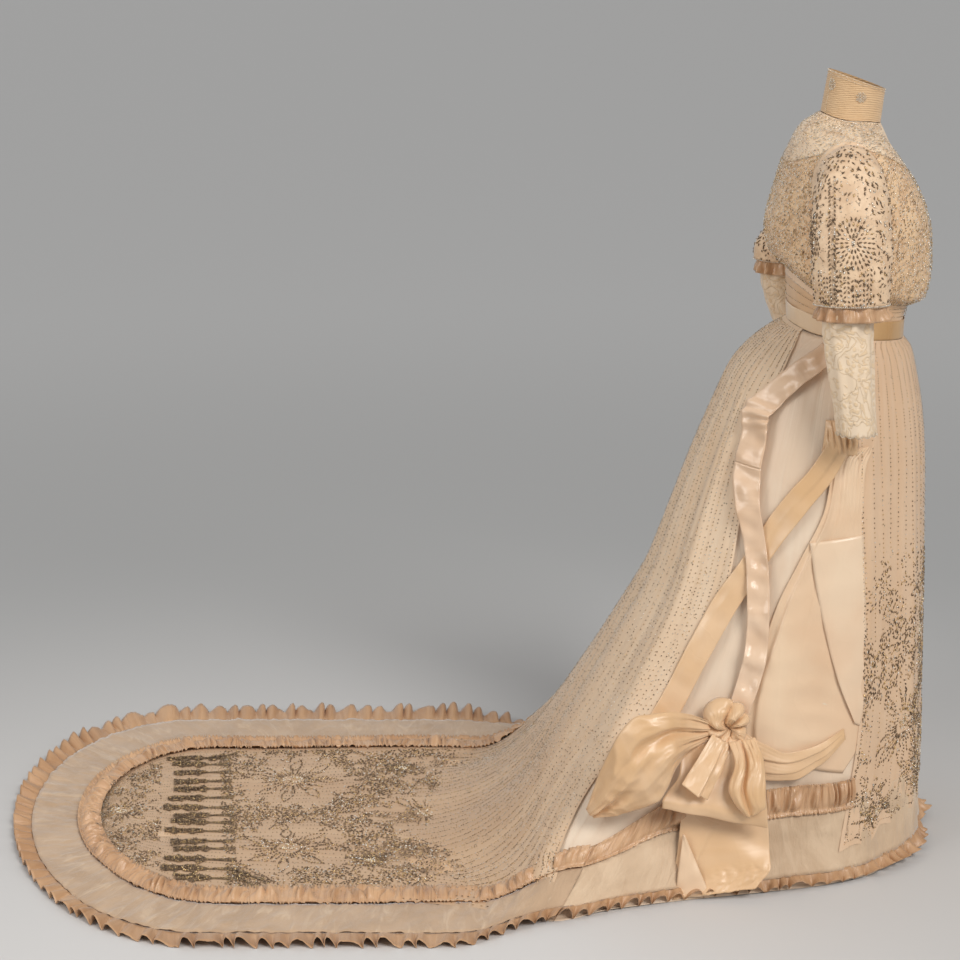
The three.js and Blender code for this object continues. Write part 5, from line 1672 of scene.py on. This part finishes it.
def make_train_beads(net):
    """The train's worked field, its dotted lines on the net's grid and its flower centres."""
    rows = garden(TRAIN_HEADS, ((-325, 690), (325, 1440)), 27, (40, 74), np.pi / 2, 201)
    middle = (rows[:, :2] + rows[:, 2:]) / 2
    back = middle[:, 1] - TRAIN_SKEW * middle[:, 0]
    tassel_zone = (back > TASSEL_FROM + 24) & (back < TASSEL_TO + 4)
    thin = np.random.default_rng(202).uniform(size=len(rows)) < ramp(middle[:, 1], 700, 800)
    rows = rows[in_train(middle[:, 0], middle[:, 1], 8) & ~tassel_zone & thin]
    lay_on_train("train_sprays", rows, 1.85, shares(0.62, 0.26, 0.12, 0.9), 203)

    rng = np.random.default_rng(204)
    t, s = grid_of((np.arange(STRANDS) + 0.5) / STRANDS, np.arange(0, 1, 0.0078))
    t = t + 0.003 * np.sin(s * 9 + t * 60) + rng.uniform(-0.0008, 0.0008, t.shape)
    s = s + rng.uniform(-0.001, 0.001, s.shape)
    keep = rng.uniform(size=t.shape) < 0.9
    t, s = t[keep], s[keep]
    start, end = on_net(net, t, s), on_net(net, t, s + 0.0026)
    start[:, 2] += 1.0
    end[:, 2] += 1.0
    shared_out("train_dots", start, end, None, 1.25, 0.3,
               shares(0.6, 0.25, 0.15), 205)

    rows = pearls_at([(x, y, 0.24 * size) for x, y, size in TRAIN_HEADS], 2.1, 206)
    lay_on_train("train_centres", rows, 2.6, [("pearl", 0.6, 1.0), ("gold_bead", 0.4, 1.0)], 207)


def lay_on_train(name, rows, radius, parts, seed):
    """Lays stitches given in the plan of the train on its net."""
    start, end = (
        np.stack([x, y, train_height(x, y) + 0.9], -1) for x, y in (rows[:, :2].T, rows[:, 2:].T)
    )
    shared_out(name, start, end, None, radius, 0.3, parts, seed)


def make_tassels():
    """Bead tassels across the train: a few strings that run together from a wide start, then a
    thick knotted bunch that frays at its end; two strays lie off the row."""
    rng = np.random.default_rng(211)
    starts, ends, sizes = [], [], []
    across = [(k + rng.uniform(-0.16, 0.16)) / (TASSEL_COUNT - 1) for k in range(TASSEL_COUNT)]
    places = [(mix(-TASSEL_SIDE, TASSEL_SIDE, f), TASSEL_FROM, 0.0) for f in across]
    places += TASSEL_STRAYS
    for k, (x0, y0, lie) in enumerate(places):
        length = (TASSEL_TO - TASSEL_FROM) * rng.uniform(0.84, 1.02) * (0.55 if lie else 1.0)
        sway = rng.uniform(-8, 8)
        thick = rng.uniform(0.85, 1.25)
        for strand in range(9):
            offset = (strand - 4) * 1.1
            s = np.arange(0, 1, 3.0 / length)
            bunch = ramp(s, 0.36, 0.5)
            lump = 0.75 + 0.3 * np.sin(21 * s + k * 1.7) + 0.2 * np.sin(47 * s + k)
            spread = mix(1.9 * (1 - 1.6 * s) ** 2 + 0.2, lump * thick * 2.5, bunch)
            curl = 1.6 * np.sin(7 * s + 0.5 * strand + k) * bunch
            x = x0 + offset * spread + sway * s ** 2 + curl
            x = x + rng.uniform(-1, 1, len(s)) * (0.2 + 2.6 * bunch)
            along = s * length
            y = y0 + along * math.cos(lie) + TRAIN_SKEW * x
            x = x + along * math.sin(lie)
            z = train_height(x, y) + 1.2 + 1.5 * bunch * (2.6 - np.abs(strand - 4) * 0.6)
            z = z + rng.uniform(0, 1, len(s))
            p = np.stack([x, y, z], -1)
            starts.append(p[:-1])
            ends.append(p[1:] + (p[1:] - p[:-1]) * 0.25)
            sizes.append(np.where(bunch[:-1] > 0.5, rng.uniform(1.6, 2.9, len(s) - 1), 0.95))
    starts, ends, sizes = np.concatenate(starts), np.concatenate(ends), np.concatenate(sizes)
    pick = rng.uniform(size=len(starts)) < 0.82
    thing = spindles("tassel_strings", starts[pick], ends[pick], sizes[pick], 0.0, "dark_bead")
    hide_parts("tassel_row")
    spindles("tassel_glints", starts[~pick], ends[~pick], sizes[~pick] * 0.9, 0.6, "gold_bead")


def make_back_beads():
    """Strands of beads down the back net and on to the train, and a light sprinkle between
    them that thickens towards the floor."""
    rng = np.random.default_rng(221)
    t = (np.arange(STRANDS) + 0.5) / STRANDS
    s = np.arange(0.012, 1.0, 0.0048)
    tt, ss = grid_of(t, s)
    ss = ss + rng.uniform(-0.0012, 0.0012, ss.shape)
    tt = tt + rng.uniform(-0.0008, 0.0008, tt.shape) + 0.003 * np.sin(ss * 9 + tt * 40)
    second = (np.arange(STRANDS) % 2 == 1)[None, :]
    keep = (rng.uniform(size=tt.shape) < 0.9) & ~(second & (ss < 0.3 + 0.1 * np.sin(97 * tt)))
    tt, ss = tt[keep], ss[keep]
    bead_on_back("back_strands", tt, ss, 1.15 + 0.2 * np.clip(ss * 2, 0, 1), 1.4, 222)
    count = 3600
    t = rng.uniform(0.01, 0.99, count)
    s = 0.42 + 0.58 * rng.uniform(size=count) ** 0.7
    bead_on_back("back_sprinkle", t, s, 0.85, 1.0, 223)


def bead_on_back(name, t, s, radius, half, seed):
    """Beads on the back net, each half its length to either side of its place."""
    w, row = back_place(np.clip(t, 0.003, 0.997), np.clip(s, 0, 0.995))
    out = back_out(w, row) + 0.9
    middle, normal = SKIRT.at(w, row, out), SKIRT.normal(w, row)
    down = unit(SKIRT.at(w, row + 0.03, out) - SKIRT.at(w, row - 0.03, out))
    shared_out(name, middle - half * down, middle + half * down, normal, radius, 0.0,
               shares(0.36, 0.34, 0.3, 1.1), seed)


FRONT_HEADS = [
    (0, 800, 74), (-196, 720, 62), (196, 720, 62), (-250, 880, 44), (250, 880, 44), (-92, 600, 44),
    (92, 600, 44),
]
FRONT_WIDE = 330.0      # the front panel's field is worked out as this wide each way
FRONT_LONG = 960.0


def lay_on_front(name, rows, radius, parts, seed):
    """Lays stitches given on the flat front panel, x across and y down from the waist."""
    x, y = rows[:, [0, 2]], rows[:, [1, 3]]
    rows = rows[((np.abs(x) < FRONT_WIDE * 0.985) & (y < FRONT_LONG * 0.992) & (y > 4)).all(1)]
    places = [front_place(rows[:, k] / FRONT_WIDE, rows[:, k + 1] / FRONT_LONG) for k in (0, 2)]
    ends = [SKIRT.at(w, row, front_out(w, row) + 0.7) for w, row in places]
    w, row = places[0]
    shared_out(name, ends[0], ends[1], SKIRT.normal(w, row), radius, 0.0, parts, seed)


def make_front_beads():
    """The front panel: strands from the waist, and a worked field that thickens to the foot."""
    rng = np.random.default_rng(231)
    x = np.arange(-13, 14) * 24.5
    y = np.arange(8, 940, 6.8)
    xx, yy = grid_of(x, y)
    xx = xx + 2.5 * np.sin(yy / 80 + xx) + rng.uniform(-0.7, 0.7, xx.shape)
    keep = rng.uniform(size=xx.shape) < 0.9
    rows = upright(np.stack([xx[keep], yy[keep]], -1), 1.3)
    lay_on_front("front_strands", rows, 1.4, shares(0.5, 0.35, 0.15), 232)

    field = garden(FRONT_HEADS, ((-325, 440), (325, 950)), 30, (42, 74), np.pi / 2, 233)
    middle = (field[:, 1] + field[:, 3]) / 2
    field = field[rng.uniform(size=len(field)) < ramp(middle, 440, 560)]
    lay_on_front("front_sprays", field, 1.7, shares(0.6, 0.28, 0.12, 0.9), 234)

    rows = pearls_at([(x, y, 0.2 * size) for x, y, size in FRONT_HEADS], 1.9, 235)
    lay_on_front("front_centres", rows, 2.0, [("pearl", 0.5, 1.0), ("gold_bead", 0.5, 1.0)], 236)

    edge = []
    for side in (-1, 1):
        y = np.arange(10, 950, 4.6)
        edge.append(np.stack([np.full(len(y), side * FRONT_WIDE * 0.975), y], -1))
    x = np.arange(-320, 321, 4.6)
    edge.append(np.stack([x, np.full(len(x), FRONT_LONG * 0.985)], -1))
    rows = upright(np.concatenate(edge), 1.4)
    lay_on_front("front_border", rows, 1.0, shares(0.5, 0.3, 0.2), 237)


def outside_armholes(points):
    """Which points are past an armhole's rim, or too far from the sides to be in one."""
    far, beside = from_armhole(points)
    return (far > 1.03) | ~beside


def make_bodice_beads():
    """Close beads on the bodice and yoke: short strokes that run down and slant to the middle."""
    rng = np.random.default_rng(241)
    count = 11000
    u = rng.uniform(0, 2 * np.pi, count)
    v = rng.uniform(2.05, 6.95, count)
    slant = 0.5 * np.sin(u) + rng.normal(0, 0.3, count)
    du, dv = 0.014 * np.sin(slant), 0.034 * np.cos(slant)
    start, end, normal = on_surface(BODY, u - du, v - dv, u + du, v + dv, 2.4)
    end = end + normal * (rng.uniform(size=count) < 0.3)[:, None] * 2.2
    keep = outside_armholes((start + end) / 2)
    beside = np.abs(np.sin(u)) ** 3
    deal = rng.uniform(size=count) < 0.16 + 0.5 * beside
    for name, pick, parts in (
        ("bodice_dark", keep & deal, shares(0.42, 0.38, 0.2)),
        ("bodice_bright", keep & ~deal, [("gold_bead", 0.5, 1.0), ("silver_bead", 0.5, 1.0)]),
    ):
        shared_out(name, start[pick], end[pick], normal[pick], 1.1, 0.0, parts, 242)

    count = 4600
    u = rng.uniform(0, 2 * np.pi, count)
    v = rng.uniform(0.1, 2.0, count)
    front_plain = (np.cos(u) > 0.8) & (v < 1.3)
    swirl = np.pi / 2 + 0.9 * np.sin(3 * u + 4 * v)
    du, dv = 0.03 * np.sin(swirl), 0.035 * np.cos(swirl)
    start, end, normal = on_surface(BODY, u - du, v - dv, u + du, v + dv, 1.6)
    keep = outside_armholes((start + end) / 2) & ~front_plain
    shared_out("yoke_beads", start[keep], end[keep], normal[keep], 0.6, 0.0,
               [("dark_bead", 0.1, 0.9), ("gold_bead", 0.35, 1.0), ("silver_bead", 0.55, 1.0)], 243)

    u = np.arange(0, 2 * np.pi, 0.035)
    rows = []
    for v, lift in ((2.04, 2.4), (6.97, 2.6), (8.6, 0.4), (8.05, 0.0), (7.6, 0.0)):
        row = np.full_like(u, v)
        start, end, normal = on_surface(BODY, u - 0.009, row, u + 0.009, row, lift)
        keep = outside_armholes(start) if v < 3 else np.ones(len(u), bool)
        rows.append((start[keep], end[keep], normal[keep]))
    start, end, normal = (np.concatenate(part) for part in zip(*rows))
    shared_out("bodice_lines", start, end, normal, 1.0, 0.0,
               shares(0.55, 0.25, 0.2), 244)


CAP_ROUND, CAP_LONG = 62, 58                    # millimetres to a radian and to a row of a cap
CAP_FLOWERS = ((1.62, 4.35), (2.62, 3.9))       # angle and row of the flower heads on a cap


def cap_pattern(seed):
    """Stitches on a cap in angle and row: three rings of strokes that stand out from the inset,
    strokes along its pleat, a ringed flower head before it and a fan behind it, feathered lines
    below, and loose strokes between."""
    rng = np.random.default_rng(seed)
    rows = []

    def stroke(a, row, angle, length):
        da, dr = length / 2 * np.sin(angle) / CAP_ROUND, length / 2 * np.cos(angle) / CAP_LONG
        ends = np.broadcast_arrays(a - da, row - dr, a + da, row + dr)
        rows.append(np.stack(ends, -1).reshape(-1, 4))
    for reach, count in ((1.05, 60), (1.16, 66), (1.28, 50)):
        phi = 2 * np.pi * (np.arange(count) + 0.5 * rng.uniform(-1, 1, count)) / count
        a, row = 1.9 + 0.95 * reach * np.sin(phi), 5.3 - 3.1 * reach * np.cos(phi)
        slant = phi + 0.4 * (-1) ** np.arange(count)
        pick = (row > 1.3) & (row < 5.9)
        stroke(a[pick], row[pick], slant[pick], 8.5)
    row = np.arange(2.5, 5.9, 0.11)
    for side in (-1, 1):
        stroke(CAP_PLEAT + side * 0.075 + 0 * row, row, side * 0.5 + 0 * row, 7.0)
    for a0, row0 in CAP_FLOWERS:
        for k in range(1, 5):
            count = 7 + 6 * k
            phi = 2 * np.pi * (np.arange(count) + 0.5 * (k % 2)) / count
            far = 9.0 * (0.35 + 0.85 * k)
            fan = np.ones(count, bool) if a0 < 2 else np.cos(phi - 0.5 * np.pi) > -0.2
            phi = phi[fan]
            stroke(a0 + far * np.sin(phi) / CAP_ROUND, row0 + far * np.cos(phi) / CAP_LONG, phi,
                   7.0)
    for a0 in np.arange(1.2, 2.75, 0.2):
        row = np.arange(5.1 + 0.15 * np.sin(9 * a0), 5.95, 0.13)
        for side in (-1, 1):
            stroke(a0 + side * 0.05 + 0 * row, row, side * 0.6 + 0 * row, 6.0)
    count = 680
    a, row = rng.uniform(0, 2 * np.pi, count), rng.uniform(0.9, 5.95, count)
    stroke(a, row, rng.normal(0, 0.7, count), 7.0)
    return np.concatenate(rows)


def make_sleeve_beads():
    """Beads on both caps, pearls along the lace feet, and flowers on the caps."""
    for hand, side in (("right", 1), ("left", -1)):
        surface = sleeve(CAP_ROWS, side)
        rows = cap_pattern(251)
        a1, r1, a2, r2 = rows.T
        lift = side * (cap_out((a1 + a2) / 2, (r1 + r2) / 2) + 1.0)
        start, end, normal = on_surface(surface, a1, r1, a2, r2, lift)
        shared_out(f"cap_beads_{hand}", start, end, normal * side, 1.75, 0.0,
                   shares(0.78, 0.12, 0.10), 252)
        rng = np.random.default_rng(253)
        centre = np.array([
            (a + 0.07 * f * math.cos(g), r + 0.07 * f * math.sin(g))
            for a, r in CAP_FLOWERS for f, g in zip(rng.uniform(0, 1, 14), rng.uniform(0, 6.28, 14))
        ])
        edge_a = np.arange(0, 2 * np.pi, 0.05)
        a = np.concatenate([centre[:, 0], edge_a])
        r = np.concatenate([centre[:, 1], np.full(len(edge_a), 5.96)])
        lift = side * (cap_out(a, r) + 1.2)
        start, end, normal = on_surface(surface, a, r - 0.025, a, r + 0.025, lift)
        spindles(f"cap_pearls_{hand}", start, end, 1.5, 0.0, "silver_bead",
                 normal * side)

        a = np.arange(0, 2 * np.pi, 0.055)
        foot = lace_foot(a)
        lift = side * (lower_out(a, foot) + 0.6)
        lower = sleeve(LOWER_ROWS, side)
        start, end, normal = on_surface(lower, a, foot - 0.022, a, foot + 0.012, lift)
        spindles(f"cuff_pearls_{hand}", start, end, 1.2, 0.0, "pearl", normal * side)


COLLAR_ROUND, COLLAR_HIGH = 54, 70              # millimetres to a radian and to its height
COLLAR_ROSETTES = ((1.5, 0.40), (2.62, 0.30), (2 * np.pi - 1.5, 0.40))      # angle and height
ROSETTE_BEADS = 54
GOLDEN_TURN = 2.4       # the angle from each bead of a rosette to the next, which fills it evenly


def make_collar_beads():
    """Pearls round the collar's rim, rosettes on its sides and a line down its closure."""
    u = np.arange(0, 2 * np.pi, 0.05)
    parts = [on_surface(COLLAR, u, np.full_like(u, 0.004), u, np.full_like(u, 0.03), 0.9)]
    parts.append(on_surface(COLLAR, u, np.full_like(u, 0.07), u, np.full_like(u, 0.09), 0.7))
    v = np.arange(0.05, 0.98, 0.035)
    closure = np.full_like(v, 2.72)
    parts.append(on_surface(COLLAR, closure, v - 0.01, closure, v + 0.01, 0.8))
    k = np.arange(ROSETTE_BEADS)
    angle, far = k * GOLDEN_TURN, 9.5 * np.sqrt(k / ROSETTE_BEADS)
    for turn, height in COLLAR_ROSETTES:
        a = turn + far * np.cos(angle) / COLLAR_ROUND
        h = height + far * np.sin(angle) / COLLAR_HIGH
        parts.append(on_surface(COLLAR, a, h - 0.02, a, h + 0.02, 1.6))
    start, end, normal = (np.concatenate(part) for part in zip(*parts))
    spindles("collar_pearls", start, end, 1.15, 0.0, "pearl", normal)


# ---- stage, light and camera ---------------------------------------------------------------
def stage_finish(name):
    """Matt studio paper with a painted pool of light: pale round the dress, falling to a grey
    painted shade further off and rising again to a lighter grey far away, by the distance from a
    point beside the hem."""
    finish = Finish(name, Roughness=0.85, Specular_IOR_Level=0.2)
    inputs = {0: finish.place, 1: (-0.6, 0.7, -1.36)}
    away = finish.node("VectorMath", {"operation": "DISTANCE"}, inputs, 1)
    cloud = finish.noise(finish.place, 0.6, 1.0)
    share = finish.step(away + cloud * 0.2 - 0.1, 0.1, 2.6)
    # painted pool of light near the hem, fading with distance to a painted grey shade
    near = finish.blend((0.66, 0.645, 0.63), (0.42, 0.42, 0.415), share)
    tone = finish.blend(near, (0.50, 0.50, 0.495), finish.step(away, 2.6, 6.0))
    return finish.done(Base_Color=tone)


def make_stage():
    """A wide paper floor under the dress."""
    far = 45000.0
    corners = np.array([[-far, -far, 0], [far, -far, 0], [far, far, 0], [-far, far, 0]])
    floor = make_mesh("paper_floor", corners, np.array([[0, 1, 2, 3]]), None, False)
    floor.data.materials.append(stage_finish("studio_paper"))


def facing(place, aim):
    """A matrix at a place whose -Z looks at a point: columns right, up and back."""
    place = np.array(place, float)
    back = unit(place - np.array(aim, float))
    right = unit(np.cross([0, 0, 1.0], back))
    rows = np.eye(4)
    rows[:3, :3] = np.stack([right, np.cross(back, right), back], 1)
    rows[:3, 3] = place
    return Matrix(rows.tolist())


def make_light(name, kind, place, aim, power, colour, **settings):
    """A lamp at a place, which shines at a point."""
    lamp = bpy.data.lights.new(name, kind)
    lamp.energy = power
    lamp.color = colour
    for key, value in settings.items():
        setattr(lamp, key, value)
    thing = bpy.data.objects.new(name, lamp)
    bpy.context.scene.collection.objects.link(thing)
    thing.matrix_world = facing(place, aim)


def make_lights():
    """Soft daylight from the wearer's right and front, a fainter one from the other side, three
    banks for the gloss of the silk, and grey air all round."""
    for name, place, power, colour, angle in (
        ("day", (-2.5, -1.3, 2.4), 1.55, (1, 0.985, 0.965), 22),
        ("day_behind", (2.4, 1.8, 2.0), 0.5, (0.98, 0.99, 1), 80),
    ):
        make_light(name, "SUN", place, (0, 0.3, -0.4), power, colour, angle=math.radians(angle))
    for name, place, aim, power, colour, wide, high in (
        ("front_bank", (-2.4, -2.2, 1.0), (0, 0.1, -0.5), 24, (1, 0.98, 0.95), 0.9, 2.4),
        ("high_bank", (-2.2, 1.6, 1.9), (0, 0.5, -0.8), 12, (1, 0.99, 0.98), 2.2, 0.8),
        ("back_bank", (-1.9, 2.7, 0.7), (0, 0.2, -0.2), 28, (1, 0.98, 0.95), 1.2, 1.6),
    ):
        make_light(name, "AREA", place, aim, power, colour,
                   shape="RECTANGLE", size=wide, size_y=high)
    world = bpy.data.worlds.new("studio_air")
    world.use_nodes = True
    air = world.node_tree.nodes["Background"]
    air.inputs[0].default_value = (0.25, 0.25, 0.255, 1)
    air.inputs[1].default_value = 1.0
    bpy.context.scene.world = world
    bpy.context.scene.view_settings.view_transform = "Standard"


def make_camera():
    """The camera: place, yaw and downward pitch, and the focal length for a 36 mm film."""
    yaw, pitch = -0.00453, 0.27273
    ahead = [math.cos(yaw) * math.cos(pitch), math.sin(yaw) * math.cos(pitch), -math.sin(pitch)]
    place = np.array([-4.3, 0.709, 0.54])
    lens = bpy.data.cameras.new("camera")
    lens.lens = 87.4
    lens.sensor_width = 36
    lens.clip_end = 120
    camera = bpy.data.objects.new("camera", lens)
    bpy.context.scene.collection.objects.link(camera)
    camera.matrix_world = facing(place, place + ahead)
    bpy.context.scene.camera = camera


make_bodice()
make_sleeves()
make_skirt()
make_overskirt()
train_net = make_train()
make_drape()
make_bow()
make_collar_beads()
make_bodice_beads()
make_sleeve_beads()
make_front_beads()
make_back_beads()
make_train_beads(train_net)
make_tassels()
make_stage()
make_lights()
make_camera()
